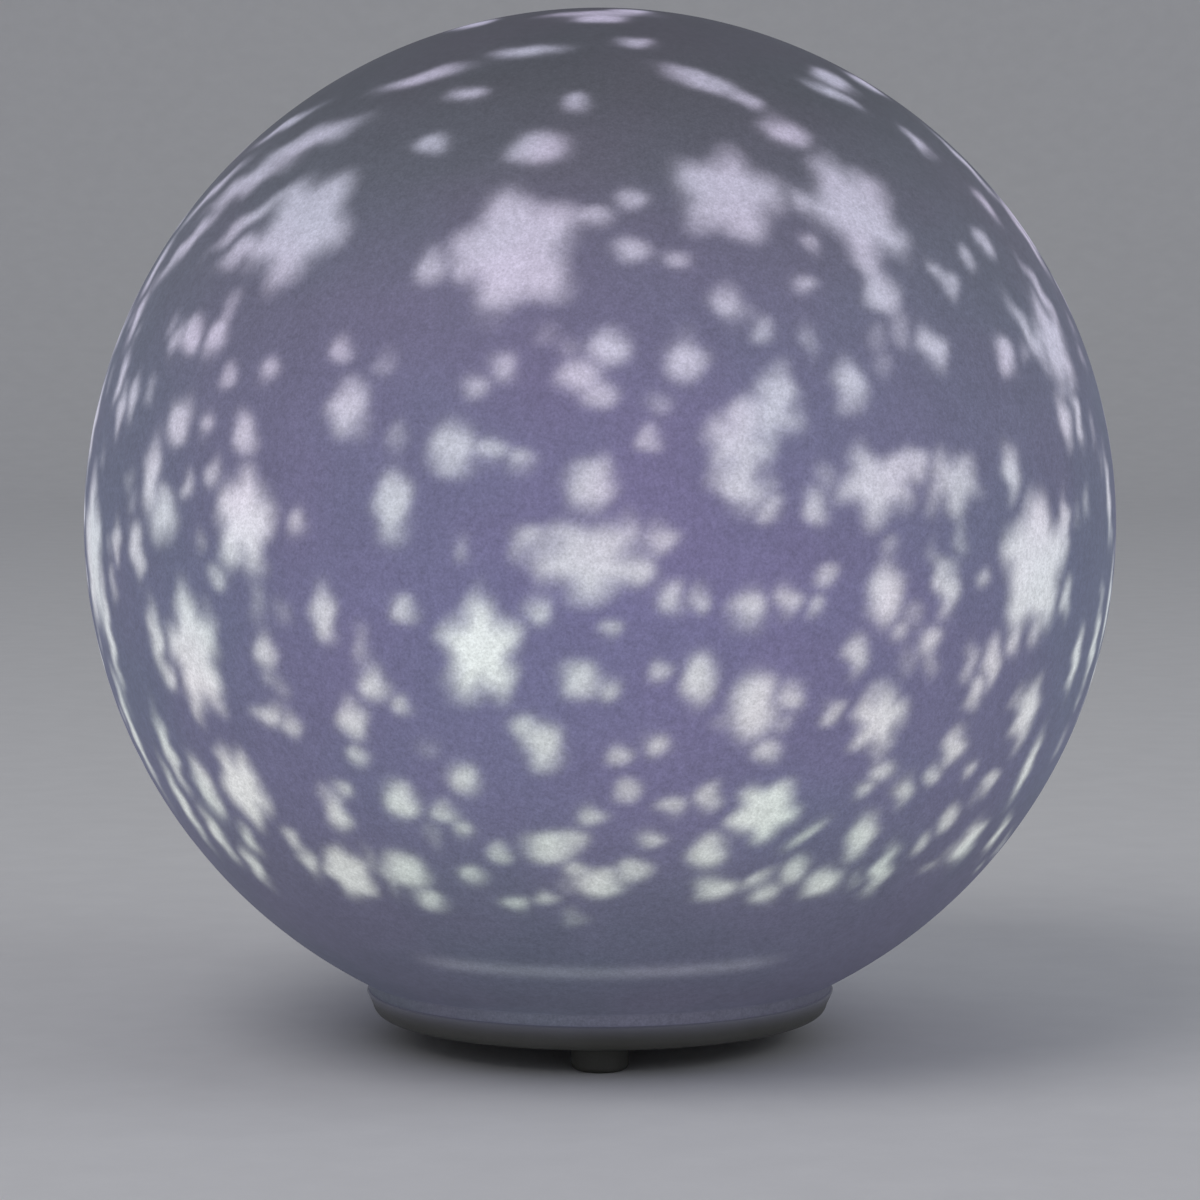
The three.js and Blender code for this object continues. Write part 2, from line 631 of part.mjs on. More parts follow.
const MOTOR_SCREWS = ['motor_screw_right', 'motor_screw_left'];
MOTOR_SCREWS.forEach((name, i) => {
  const headZ = MOTOR_TOP_Z - MOTOR_EAR_THICKNESS - GAP - SCREW_HEAD;
  add(lamp, name, screwGeometry(MOTOR_SCREW_LENGTH), 'steel', [...MOTOR_EARS[i], headZ]);
});

// ---------------------------------------------------------------- gears

// Outline of a spur gear with a tooth centred on +X.
function gearOutline(teeth) {
  const pitchRadius = (GEAR_MODULE * teeth) / 2;
  const tipRadius = pitchRadius + ADDENDUM * GEAR_MODULE;
  const rootRadius = pitchRadius - DEDENDUM * GEAR_MODULE;
  const baseRadius = pitchRadius * Math.cos(radians(PRESSURE_ANGLE));
  const involute = (radius) => {
    const angle = Math.acos(Math.min(1, baseRadius / radius));
    return Math.tan(angle) - angle;
  };
  const pitchHalf = (Math.PI * TOOTH_SHARE) / teeth;
  const halfAngle = (radius) => pitchHalf + involute(pitchRadius) - involute(radius);
  const flank = [rootRadius, Math.max(baseRadius, rootRadius), pitchRadius, tipRadius];
  const radii = flank.filter((radius, i) => i === 0 || radius - flank[i - 1] > 0.01);
  const outline = [];
  for (let tooth = 0; tooth < teeth; tooth += 1) {
    const middle = (2 * Math.PI * tooth) / teeth;
    for (const radius of radii) {
      outline.push([radius, middle - halfAngle(radius)]);
    }
    for (const radius of [...radii].reverse()) {
      outline.push([radius, middle + halfAngle(radius)]);
    }
  }
  return outline.map(([radius, angle]) => [radius * Math.cos(angle), radius * Math.sin(angle)]);
}

function driveGearGeometry() {
  const wheel = extrude(gearOutline(DRIVE_TEETH), ...UPPER_GEARS_Z);
  const hub = disc(HUB_RADIUS, ...HUB_Z, 32);
  const pegs = PEG_ANGLES.map((angle) => {
    const peg = disc(PEG_RADIUS, UPPER_GEARS_Z[1] - 1, MASK_TRAY_Z + 1.4, 12);
    return peg.translate(...polar(PEG_RING_RADIUS, angle), 0);
  });
  const windows = PEG_ANGLES.map((angle) => {
    const window = disc(3, UPPER_GEARS_Z[0] - 1, UPPER_GEARS_Z[1] + 1);
    return window.translate(...polar(PEG_RING_RADIUS, angle + 60), 0);
  });
  const bore = disc(HUB_BORE, HUB_Z[0] - 1, HUB_Z[1] + 1, 32);
  return cut(join(wheel, hub, ...pegs), bore, ...windows);
}

function idlerGeometry() {
  const large = extrude(gearOutline(IDLER_LARGE_TEETH), ...LOWER_GEARS_Z);
  const smallZ = [LOWER_GEARS_Z[1] - 0.5, UPPER_GEARS_Z[1] - 0.2];
  const small = extrude(gearOutline(IDLER_SMALL_TEETH), ...smallZ);
  large.rotateZ(radians(PINION_DIRECTION));
  // The gap between two teeth of the small gear faces the drive gear, at -Y.
  small.rotateZ(radians(-90 + 180 / IDLER_SMALL_TEETH));
  const bore = disc(PIN_RADIUS + GAP, 0, LED_Z, 16);
  return cut(join(large, small), bore);
}

function pinionGeometry() {
  const teeth = extrude(gearOutline(PINION_TEETH), LOWER_GEARS_Z[0], LOWER_GEARS_Z[1]);
  // The gap between two teeth faces the idler.
  teeth.rotateZ(radians(PINION_DIRECTION + 180 + 180 / PINION_TEETH));
  return cut(teeth, disc(SHAFT_RADIUS + GAP, 0, LED_Z, 16));
}

// The drive gear's teeth divide a quarter turn, so one of them is at +Y, where it meets the idler.
add(lamp, 'drive_gear', driveGearGeometry(), 'nylon');
add(lamp, 'idler_gear', idlerGeometry(), 'nylon', [...IDLER, 0]);
add(lamp, 'pinion', pinionGeometry(), 'brass', [...PINION, 0]);
const shaft = disc(SHAFT_RADIUS, SHAFT_BOTTOM_Z, LOWER_GEARS_Z[1] + 0.6);
add(lamp, 'motor_shaft', shaft, 'steel', [...PINION, 0]);
const idlerPin = disc(PIN_RADIUS, HOUSING_TOP_Z - HOUSING_TOP, UPPER_GEARS_Z[1] + 0.1, 16);
add(lamp, 'idler_pin', idlerPin, 'steel', [...IDLER, 0]);

// ---------------------------------------------------------------- centre tube

function centreTubeGeometry() {
  const flangeTop = HOUSING_TOP_Z - HOUSING_TOP - GAP;
  return revolve([
    [TUBE_BORE, flangeTop - TUBE_FLANGE],
    [TUBE_FLANGE_RADIUS, flangeTop - TUBE_FLANGE],
    [TUBE_FLANGE_RADIUS, flangeTop],
    [TUBE_RADIUS, flangeTop],
    [TUBE_RADIUS, TUBE_TOP_Z],
    [TUBE_BORE, TUBE_TOP_Z],
    [TUBE_BORE, flangeTop - TUBE_FLANGE],
  ], 32);
}

add(lamp, 'centre_tube', centreTubeGeometry(), 'aluminium');
const washer = ring(HUB_BORE, HUB_RADIUS, HOUSING_TOP_Z + GAP, HUB_Z[0] - GAP, 32);
add(lamp, 'hub_washer', washer, 'nylon');

function hubClipGeometry() {
  const clip = ring(HUB_BORE, 6.2, HUB_Z[1] + GAP, HUB_Z[1] + GAP + 0.8, 32);
  const gap = block([0, 10], [-1.4, 1.4], [HUB_Z[1] - 1, HUB_Z[1] + 3]);
  return cut(clip, gap);
}

add(lamp, 'hub_clip', hubClipGeometry(), 'steel');

// ---------------------------------------------------------------- mask tray and star mask

function maskTrayGeometry() {
  const top = MASK_TRAY_Z + MASK_TRAY_FLOOR;
  const rimTop = MASK_RIM_Z + 0.8;
  const rimInside = MASK_TRAY_RADIUS - MASK_TRAY_RIM;
  const shell = revolve([
    [HUB_RADIUS + GAP, MASK_TRAY_Z],
    [MASK_TRAY_RADIUS, MASK_TRAY_Z],
    [MASK_TRAY_RADIUS, rimTop],
    [rimInside, rimTop],
    [rimInside, top],
    [HUB_RADIUS + GAP, top],
    [HUB_RADIUS + GAP, MASK_TRAY_Z],
  ]);
  const holes = PEG_ANGLES.map((angle) => {
    const hole = disc(PEG_RADIUS + GAP, MASK_TRAY_Z - 1, top + 1, 12);
    return hole.translate(...polar(PEG_RING_RADIUS, angle), 0);
  });
  return cut(shell, ...holes);
}

function starOutline(width) {
  const points = [];
  for (let i = 0; i < 10; i += 1) {
    const radius = i % 2 === 0 ? width / 2 : width * STAR_WAIST;
    points.push(polar(radius, 90 + 36 * i));
  }
  return points;
}

// A star-shaped punch from the lamp out through the mask, aimed at its place on the ball.
function starPunch([azimuth, height, width], turn) {
  const [flat, up] = polar(GLOBE_RADIUS, height);
  const [x, y] = polar(flat, azimuth + turn - 90);
  const target = new THREE.Vector3(x, y, GLOBE_CENTRE_Z - LED_Z + up);
  const holeWidth = (width * MASK_RADIUS) / target.length();
  const punch = extrude(starOutline(holeWidth), MASK_RADIUS - 4, MASK_RADIUS + 2);
  const aim = new THREE.Matrix4().lookAt(target, new THREE.Vector3(), new THREE.Vector3(0, 0, 1));
  return punch.applyMatrix4(aim).translate(0, 0, LED_Z);
}

function starMaskGeometry() {
  const rimAngle = (radius, z) => Math.asin((z - LED_Z) / radius) * THREE.MathUtils.RAD2DEG;
  const flangeZ = MASK_TRAY_Z + MASK_TRAY_FLOOR + GAP;
  const inner = MASK_RADIUS - MASK_WALL;
  const innerFoot = Math.sqrt(inner ** 2 - (LED_Z - flangeZ) ** 2);
  const dome = revolve([
    [innerFoot, flangeZ],
    [MASK_RADIUS, flangeZ],
    [MASK_RADIUS, MASK_RIM_Z],
    ...arc(0, LED_Z, MASK_RADIUS, rimAngle(MASK_RADIUS, MASK_RIM_Z), 90, 9),
    ...arc(0, LED_Z, inner, 90, rimAngle(inner, flangeZ), 9),
  ], 32);
  const punches = [];
  for (const turn of [0, 180]) {
    for (const star of STARS) {
      punches.push(starPunch(star, turn));
    }
  }
  return cut(dome, ...punches);
}

add(lamp, 'mask_tray', maskTrayGeometry(), 'greyPlastic');
add(lamp, 'star_mask', starMaskGeometry(), 'blackPlastic');

// ---------------------------------------------------------------- lamp on the tube

const LED_BOARD_Z = TUBE_TOP_Z + GAP;
const LED_PACKAGE_Z = LED_BOARD_Z + 1.6 + GAP;
const LENS_Z = LED_PACKAGE_Z + 0.9 + GAP;
add(lamp, 'led_board', disc(8, LED_BOARD_Z, LED_BOARD_Z + 1.6, 32), 'aluminium');
const ledPackage = block([-2.5, 2.5], [-2.5, 2.5], [LED_PACKAGE_Z, LED_PACKAGE_Z + 0.9]);
add(lamp, 'led_package', ledPackage, 'whitePlastic');
const lens = revolve([[0, LENS_Z], ...arc(0, LENS_Z, 2.2, 0, 90, 5)], 20);
add(lamp, 'led_lens', lens, 'clear');

// ---------------------------------------------------------------- control board

const BOARD_TOP_Z = BOARD_Z + BOARD_THICKNESS;
const PART_Z = BOARD_TOP_Z + GAP;
const board = subassembly();
add(board, 'control_board', block(BOARD_X, BOARD_Y, [BOARD_Z, BOARD_TOP_Z]), 'circuitBoard');
add(board, 'control_chip', block([-22, -16], [-3, 2], [PART_Z, PART_Z + 1.6]), 'blackPlastic');
const capacitor = revolve([
  [0, PART_Z],
  [3, PART_Z],
  [3, PART_Z + 6.5],
  [2.5, PART_Z + 7],
  [0, PART_Z + 7],
], 20);
add(board, 'capacitor', capacitor, 'blackPlastic', [-20, -12, 0]);
const socket = block([-14, -5], [3.5, 9.5], [PART_Z, PART_Z + 6]);
const socketRoom = block([-13, -6], [4.5, 8.5], [PART_Z + 1.5, PART_Z + 7]);
add(board, 'motor_connector', cut(socket, socketRoom), 'nylon');

// ---------------------------------------------------------------- slide switch

function switchBodyGeometry() {
  const bodyY = [SWITCH_Y - SWITCH_HALF_Y, SWITCH_Y + SWITCH_HALF_Y];
  const body = block([-SWITCH_HALF_X, SWITCH_HALF_X], bodyY, [FLOOR_TOP_Z + GAP, SWITCH_TOP_Z]);
  const room = block(
    [-KNOB_HALF_X - SWITCH_TRAVEL - GAP, KNOB_HALF_X + SWITCH_TRAVEL + GAP],
    [SWITCH_Y - KNOB_HALF_Y - GAP, SWITCH_Y + KNOB_HALF_Y + GAP],
    [FLOOR_TOP_Z, KNOB_Z[1] + GAP],
  );
  return cut(body, room);
}

function switchKnobGeometry() {
  const stemY = [SWITCH_Y - KNOB_HALF_Y, SWITCH_Y + KNOB_HALF_Y];
  const stem = block([-KNOB_HALF_X, KNOB_HALF_X], stemY, KNOB_Z);
  const ribs = [-0.7, 0, 0.7].map((x) => {
    return block([x - 0.12, x + 0.12], [SWITCH_Y - 2, SWITCH_Y + 2], [KNOB_Z[0] - 1, KNOB_Z[0] + 0.2]);
  });
  return cut(stem, ...ribs);
}

add(lamp, 'switch_body', switchBodyGeometry(), 'zinc');
add(lamp, 'switch_knob', switchKnobGeometry(), 'blackPlastic');

// ---------------------------------------------------------------- leads inside the housing

const LEAD_RADIUS = 0.5;
const LEAD_END_Z = PART_Z + LEAD_RADIUS; // the leads end just over their solder pads
const LEAD_TOP_Z = TUBE_TOP_Z - 0.1;
const LEADS = {
  led_lead_red: [
    [-1, 0, LEAD_TOP_Z], [-1, 0, 44], [-1, 0, 34], [-4, -1, 30.5], [-7, -4, 28.8], [-9, -6, LEAD_END_Z],
  ],
  led_lead_black: [
    [1, 0, LEAD_TOP_Z], [1, 0, 44], [1, 0, 33.5], [-1, -5, 30.5], [-5, -9, 29], [-8, -10, LEAD_END_Z],
  ],
  battery_lead_red: [
    [-15, 26.8, 18.2], [-15, 26.8, 22], [-15, 26.4, 25.5], [-19, 20, 28], [-23, 13, 29.2],
    [-25, 8, LEAD_END_Z],
  ],
  battery_lead_black: [
    [15, -26.8, 20.2], [15, -26.8, 23], [14.5, -26.6, 25.5], [8, -26, 28.5], [-2, -23, 29.5],
    [-9, -17, LEAD_END_Z],
  ],
  motor_lead: [
    [13.3, -2.4, 30], [9, -4.6, 31], [2, -5, 32.5], [-4.5, -2, 33.8], [-8.5, 3, 35], [-9.5, 6.3, 34.6],
    [-9.5, 6.5, 31.2],
  ],
};
for (const [name, route] of Object.entries(LEADS)) {
  const finish = name.endsWith('black') ? 'blackWire' : 'redWire';
  add(lamp, name, bar(route, LEAD_RADIUS, 12), finish);
}

export default lamp;
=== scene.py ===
# Looks for the star globe lamp: a frosted ball lit from inside, on a low white base.
# Everything is in metres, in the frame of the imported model. The front is -Y.

import json
import math

import bmesh
import bpy
import numpy as np
from mathutils import Matrix, Vector


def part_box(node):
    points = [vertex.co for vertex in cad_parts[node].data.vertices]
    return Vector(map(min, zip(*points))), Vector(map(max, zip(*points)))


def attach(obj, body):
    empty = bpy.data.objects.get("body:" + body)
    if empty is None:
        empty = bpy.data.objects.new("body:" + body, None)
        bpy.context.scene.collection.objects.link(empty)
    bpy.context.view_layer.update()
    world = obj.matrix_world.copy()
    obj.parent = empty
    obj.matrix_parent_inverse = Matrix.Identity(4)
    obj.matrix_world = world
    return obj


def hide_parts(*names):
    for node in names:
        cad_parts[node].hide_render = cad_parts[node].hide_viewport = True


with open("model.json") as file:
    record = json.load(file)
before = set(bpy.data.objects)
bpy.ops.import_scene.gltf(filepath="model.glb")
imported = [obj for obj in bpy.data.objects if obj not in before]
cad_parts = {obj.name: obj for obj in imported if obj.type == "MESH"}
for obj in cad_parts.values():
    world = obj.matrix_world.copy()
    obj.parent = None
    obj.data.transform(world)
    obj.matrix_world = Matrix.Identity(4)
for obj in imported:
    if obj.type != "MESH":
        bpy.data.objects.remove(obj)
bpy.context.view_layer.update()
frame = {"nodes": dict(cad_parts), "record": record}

MM = 0.001
SCENE = bpy.context.scene
SCENE.view_settings.view_transform = "Standard"

# ---------------------------------------------------------------- sizes read from the frame

globe_low, globe_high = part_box("globe")
GLOBE_RADIUS = (globe_high.x - globe_low.x) / 2
GLOBE_CENTRE_Z = globe_high.z - GLOBE_RADIUS
COLLAR_BOTTOM_Z = globe_low.z
GLOBE_WALL = 2 * MM
COLLAR_RADIUS = 45.4 * MM
NECK_RADIUS = COLLAR_RADIUS - GLOBE_WALL
COLLAR_FILLET = 1.2 * MM

tray_low, tray_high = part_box("base_tray")
TRAY_BOTTOM_Z = tray_low.z
TRAY_RADIUS = tray_high.x
TRAY_TOP_Z = COLLAR_BOTTOM_Z - 0.3 * MM
SEAM = 0.05 * MM  # what shows of the running gap between the ball's collar and the base


# ---------------------------------------------------------------- camera

CAMERA_DISTANCE = 0.8
CAMERA_HEIGHT_ANGLE = math.radians(4.47)
CAMERA_FIELD = math.radians(16.69)
SENSOR_WIDTH = 36  # millimetres
AIM = Vector((0, 0, 0.0859))


def make_camera():
    data = bpy.data.cameras.new("camera")
    data.sensor_width = SENSOR_WIDTH
    data.lens = data.sensor_width / 2 / math.tan(CAMERA_FIELD / 2)
    camera = bpy.data.objects.new("camera", data)
    SCENE.collection.objects.link(camera)
    back = Vector((0, -math.cos(CAMERA_HEIGHT_ANGLE), math.sin(CAMERA_HEIGHT_ANGLE)))
    camera.location = AIM + back * CAMERA_DISTANCE
    camera.rotation_euler = (-back).to_track_quat("-Z", "Y").to_euler()
    SCENE.camera = camera


# ---------------------------------------------------------------- meshes


SAME_POINT = 1e-7  # metres below which two outline points are one
ON_AXIS = 1e-9  # metres from the axis below which an outline point is on it
WELD_DISTANCE = 0.002 * MM
WIRE_RESOLUTION = 3


def smooth(mesh):
    mesh.polygons.foreach_set("use_smooth", [True] * len(mesh.polygons))


def mesh_object(name, vertices, faces):
    mesh = bpy.data.meshes.new(name)
    mesh.from_pydata(vertices, [], faces)
    smooth(mesh)
    mesh.update()
    made = bpy.data.objects.new(name, mesh)
    SCENE.collection.objects.link(made)
    return made


def arc(radius_at, height_at, radius, start, end, steps):
    """Points [radius, height] of an arc in the lathe's plane, angles in degrees, both ends included."""
    angles = np.radians(np.linspace(start, end, steps + 1))
    return [(radius_at + radius * math.cos(a), height_at + radius * math.sin(a)) for a in angles]


def lathe(name, outline, turns):
    """Revolves a closed outline of [radius, height] points about Z. turns is the azimuths, in radians."""
    outline = [p for i, p in enumerate(outline) if math.dist(p, outline[i - 1]) > SAME_POINT]
    count, columns = len(outline), len(turns)
    vertices, rows = [], []
    for radius, height in outline:
        if radius < ON_AXIS:
            rows.append([len(vertices)] * columns)
            vertices.append((0, 0, height))
            continue
        rows.append(list(range(len(vertices), len(vertices) + columns)))
        vertices += [(radius * math.cos(a), radius * math.sin(a), height) for a in turns]
    faces = []
    for i in range(count):
        low, high = rows[i], rows[(i + 1) % count]
        for j in range(columns):
            k = (j + 1) % columns
            corners = list(dict.fromkeys([low[j], low[k], high[k], high[j]]))
            if len(corners) > 2:
                faces.append(corners)
    return mesh_object(name, vertices, faces)


def even_turns(columns):
    return np.linspace(0, 2 * math.pi, columns, endpoint=False)


def box_mesh(name, low, high):
    corners = [(x, y, z) for x in (low[0], high[0]) for y in (low[1], high[1]) for z in (low[2], high[2])]
    faces = [(0, 1, 3, 2), (4, 6, 7, 5), (0, 4, 5, 1), (2, 3, 7, 6), (0, 2, 6, 4), (1, 5, 7, 3)]
    return mesh_object(name, corners, faces)


def drum(name, radius, low, high, at=(0, 0), columns=48):
    """A plain round cutter."""
    made = lathe(name, [(0, low), (radius, low), (radius, high), (0, high)], even_turns(columns))
    made.location = (at[0], at[1], 0)
    return made


def carve(body, cutters, joined=()):
    """Joins pieces to body, cuts every cutter out of it, and keeps the result as body's own mesh."""
    for operation, others in (("UNION", joined), ("DIFFERENCE", cutters)):
        for other in others:
            step = body.modifiers.new("step", "BOOLEAN")
            step.object = other
            step.operation = operation
            step.solver = "EXACT"
    bpy.context.view_layer.update()
    settled = body.evaluated_get(bpy.context.evaluated_depsgraph_get())
    mesh = bpy.data.meshes.new_from_object(settled)
    body.modifiers.clear()
    body.data = mesh
    for other in (*joined, *cutters):
        bpy.data.objects.remove(other)
    return body


def wire(name, points, radius):
    """A round wire along a list of points, as a closed mesh."""
    curve = bpy.data.curves.new(name, "CURVE")
    curve.dimensions = "3D"
    curve.bevel_depth = radius
    curve.bevel_resolution = WIRE_RESOLUTION
    curve.use_fill_caps = True
    spline = curve.splines.new("POLY")
    spline.points.add(len(points) - 1)
    for point, place in zip(spline.points, points):
        point.co = (*place, 1)
    rod = bpy.data.objects.new(name, curve)
    SCENE.collection.objects.link(rod)
    bpy.context.view_layer.update()
    mesh = bpy.data.meshes.new_from_object(rod.evaluated_get(bpy.context.evaluated_depsgraph_get()))
    bpy.data.objects.remove(rod)
    smooth(mesh)
    made = bpy.data.objects.new(name, mesh)
    SCENE.collection.objects.link(made)
    return made


def middle_of(node):
    low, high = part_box(node)
    return (low + high) / 2


def soften(piece, width, angle=30, segments=2):
    """Welded corners, small rounded edges and smooth shading between them."""
    smooth(piece.data)
    weld = piece.modifiers.new("weld", "WELD")
    weld.merge_threshold = WELD_DISTANCE
    bevel = piece.modifiers.new("edges", "BEVEL")
    bevel.width = width
    bevel.segments = segments
    bevel.limit_method = "ANGLE"
    bevel.angle_limit = math.radians(angle)
    bevel.harden_normals = True
    bevel.use_clamp_overlap = True
    return piece


# ---------------------------------------------------------------- material helpers


def srgb(*values):
    """Scene colour from display values of 0 to 255."""
    parts = [v / 255 for v in values]
    return tuple(p / 12.92 if p <= 0.04045 else ((p + 0.055) / 1.055) ** 2.4 for p in parts)


class Nodes:
    """A material's node tree, with short names for what most of the finishes use."""

    def __init__(self, name):
        self.material = bpy.data.materials.new(name)
        self.material.use_nodes = True
        self.tree = self.material.node_tree
        self.shader = self.tree.nodes["Principled BSDF"]
        self.place = self.add("ShaderNodeTexCoord").outputs["Object"]

    def add(self, kind, **settings):
        node = self.tree.nodes.new(kind)
        for key, value in settings.items():
            setattr(node, key, value)
        return node

    def join(self, output, target):
        self.tree.links.new(output, target)

    def noise(self, size, detail=3, roughness=0.55, place=None):
        """Noise whose features are about size metres across."""
        node = self.add("ShaderNodeTexNoise")
        node.inputs["Scale"].default_value = 1 / size
        node.inputs["Detail"].default_value = detail
        node.inputs["Roughness"].default_value = roughness
        self.join(place or self.place, node.inputs["Vector"])
        return node.outputs["Fac"]

    def remap(self, value, low, high, to_low, to_high):
        node = self.add("ShaderNodeMapRange")
        node.clamp = True
        for key, number in zip(("From Min", "From Max", "To Min", "To Max"), (low, high, to_low, to_high)):
            node.inputs[key].default_value = number
        self.join(value, node.inputs["Value"])
        return node.outputs["Result"]

    def maths(self, operation, first, second):
        node = self.add("ShaderNodeMath", operation=operation)
        for socket, value in zip(node.inputs, (first, second)):
            if isinstance(value, (int, float)):
                socket.default_value = value
            else:
                self.join(value, socket)
        return node.outputs[0]

    def blend(self, factor, first, second, kind="MIX"):
        """A mix of two colours, each a colour or another node's output."""
        node = self.add("ShaderNodeMix", data_type="RGBA", blend_type=kind)
        colours = [s for s in node.inputs if s.type == "RGBA"]
        for socket, value in [(node.inputs[0], factor), (colours[0], first), (colours[1], second)]:
            if isinstance(value, (int, float)):
                socket.default_value = value
            elif isinstance(value, tuple):
                socket.default_value = (*value, 1)
            else:
                self.join(value, socket)
        return [s for s in node.outputs if s.type == "RGBA"][0]

    def shades(self, value, low, high, first, second):
        """first where value is at low, second where it is at high."""
        return self.blend(self.remap(value, low, high, 0, 1), first, second)

    def paint(self, colour):
        self.join(colour, self.shader.inputs["Base Color"])

    def rough(self, value, low, high, smoothest, roughest):
        self.join(self.remap(value, low, high, smoothest, roughest), self.shader.inputs["Roughness"])

    def axis(self, name):
        split = self.add("ShaderNodeSeparateXYZ")
        self.join(self.place, split.inputs[0])
        return split.outputs[name]

    def bump(self, height, distance, strength=1.0):
        node = self.add("ShaderNodeBump")
        node.inputs["Distance"].default_value = distance
        node.inputs["Strength"].default_value = strength
        self.join(height, node.inputs["Height"])
        self.join(node.outputs["Normal"], self.shader.inputs["Normal"])

    def set(self, **values):
        for key, value in values.items():
            self.shader.inputs[key.replace("_", " ")].default_value = value


DRIFT_SIZE = 14 * MM  # slow changes of colour over moulded plastic
SCRATCH_SIZE = 0.25 * MM
STAIN_SIZE = 6 * MM
METAL_BUMP = 0.004 * MM


def moulded(name, colour, shade, roughness=0.45, grain=0.35 * MM, bump=0.01 * MM):
    """Moulded plastic or rubber: slow colour drift, and a fine grain in colour, roughness and surface."""
    nodes = Nodes(name)
    drift = nodes.noise(DRIFT_SIZE, detail=2)
    fine = nodes.noise(grain, detail=4)
    body = nodes.shades(drift, 0.3, 0.7, colour, shade)
    nodes.paint(nodes.blend(nodes.remap(fine, 0.35, 0.75, 0, 0.35), body, shade))
    nodes.rough(fine, 0.2, 0.8, roughness - 0.08, roughness + 0.1)
    nodes.bump(fine, bump)
    return nodes


def metal(name, colour, shade, roughness=0.3, brushed=(1, 1, 1)):
    """Metal with fine scratches, longer along the axis whose brushed value is small."""
    nodes = Nodes(name)
    stretch = nodes.add("ShaderNodeMapping")
    stretch.inputs["Scale"].default_value = brushed
    nodes.join(nodes.place, stretch.inputs["Vector"])
    lines = nodes.noise(SCRATCH_SIZE, detail=5, place=stretch.outputs["Vector"])
    stain = nodes.noise(STAIN_SIZE, detail=3)
    nodes.paint(nodes.shades(stain, 0.35, 0.7, colour, shade))
    nodes.rough(lines, 0.25, 0.75, roughness - 0.1, roughness + 0.14)
    nodes.set(Metallic=1.0)
    nodes.bump(lines, METAL_BUMP)
    return nodes


def finish_piece(piece, nodes):
    piece.data.materials.clear()
    piece.data.materials.append(nodes.material)


# ---------------------------------------------------------------- light thrown on the ball

# Stars: azimuth from the front towards +X and height angle, both in degrees seen from the middle of the
# ball, then width and height on the ball in millimetres, the direction of one point in degrees, and strength.
STARS = [
    (-41, 35, 23, 26, 62, 0.95), (-10, 32, 23, 27, 35, 1.0), (17, 39, 20, 21, 73, 0.95),
    (35, 37, 20, 25, 34, 0.95), (-1, 0, 20, 13, 54, 0.95), (-12, -9, 14, 18.5, 92, 1.3),
    (-39, 3, 14, 19, 84, 1.15), (-48, -11, 15, 24, 100, 1.05), (52, -2, 22, 26, 88, 1.05),
    (29, 7, 15, 13, 45, 0.95), (39, 7, 12, 11, 60, 0.9), (31, -17, 11, 12, 80, 0.95),
    (19, -27, 13, 13, 60, 1.1), (-46, -26, 12, 17, 120, 1.05), (64, 21, 15, 19, 100, 0.95),
    (-73, -2, 16, 30, 90, 1.0), (-34, -36, 10, 12, 100, 0.9), (14, 11, 12, 13, 70, 0.95),
    (18, 15, 10, 11, 30, 0.9),
    # out of the camera's sight
    (95, 22, 17, 18, 62, 0.95), (86, -8, 15, 16, 25, 1.05), (97, -25, 13, 14, 50, 1.0),
    (-97, 36, 16, 17, 12, 0.95),
]

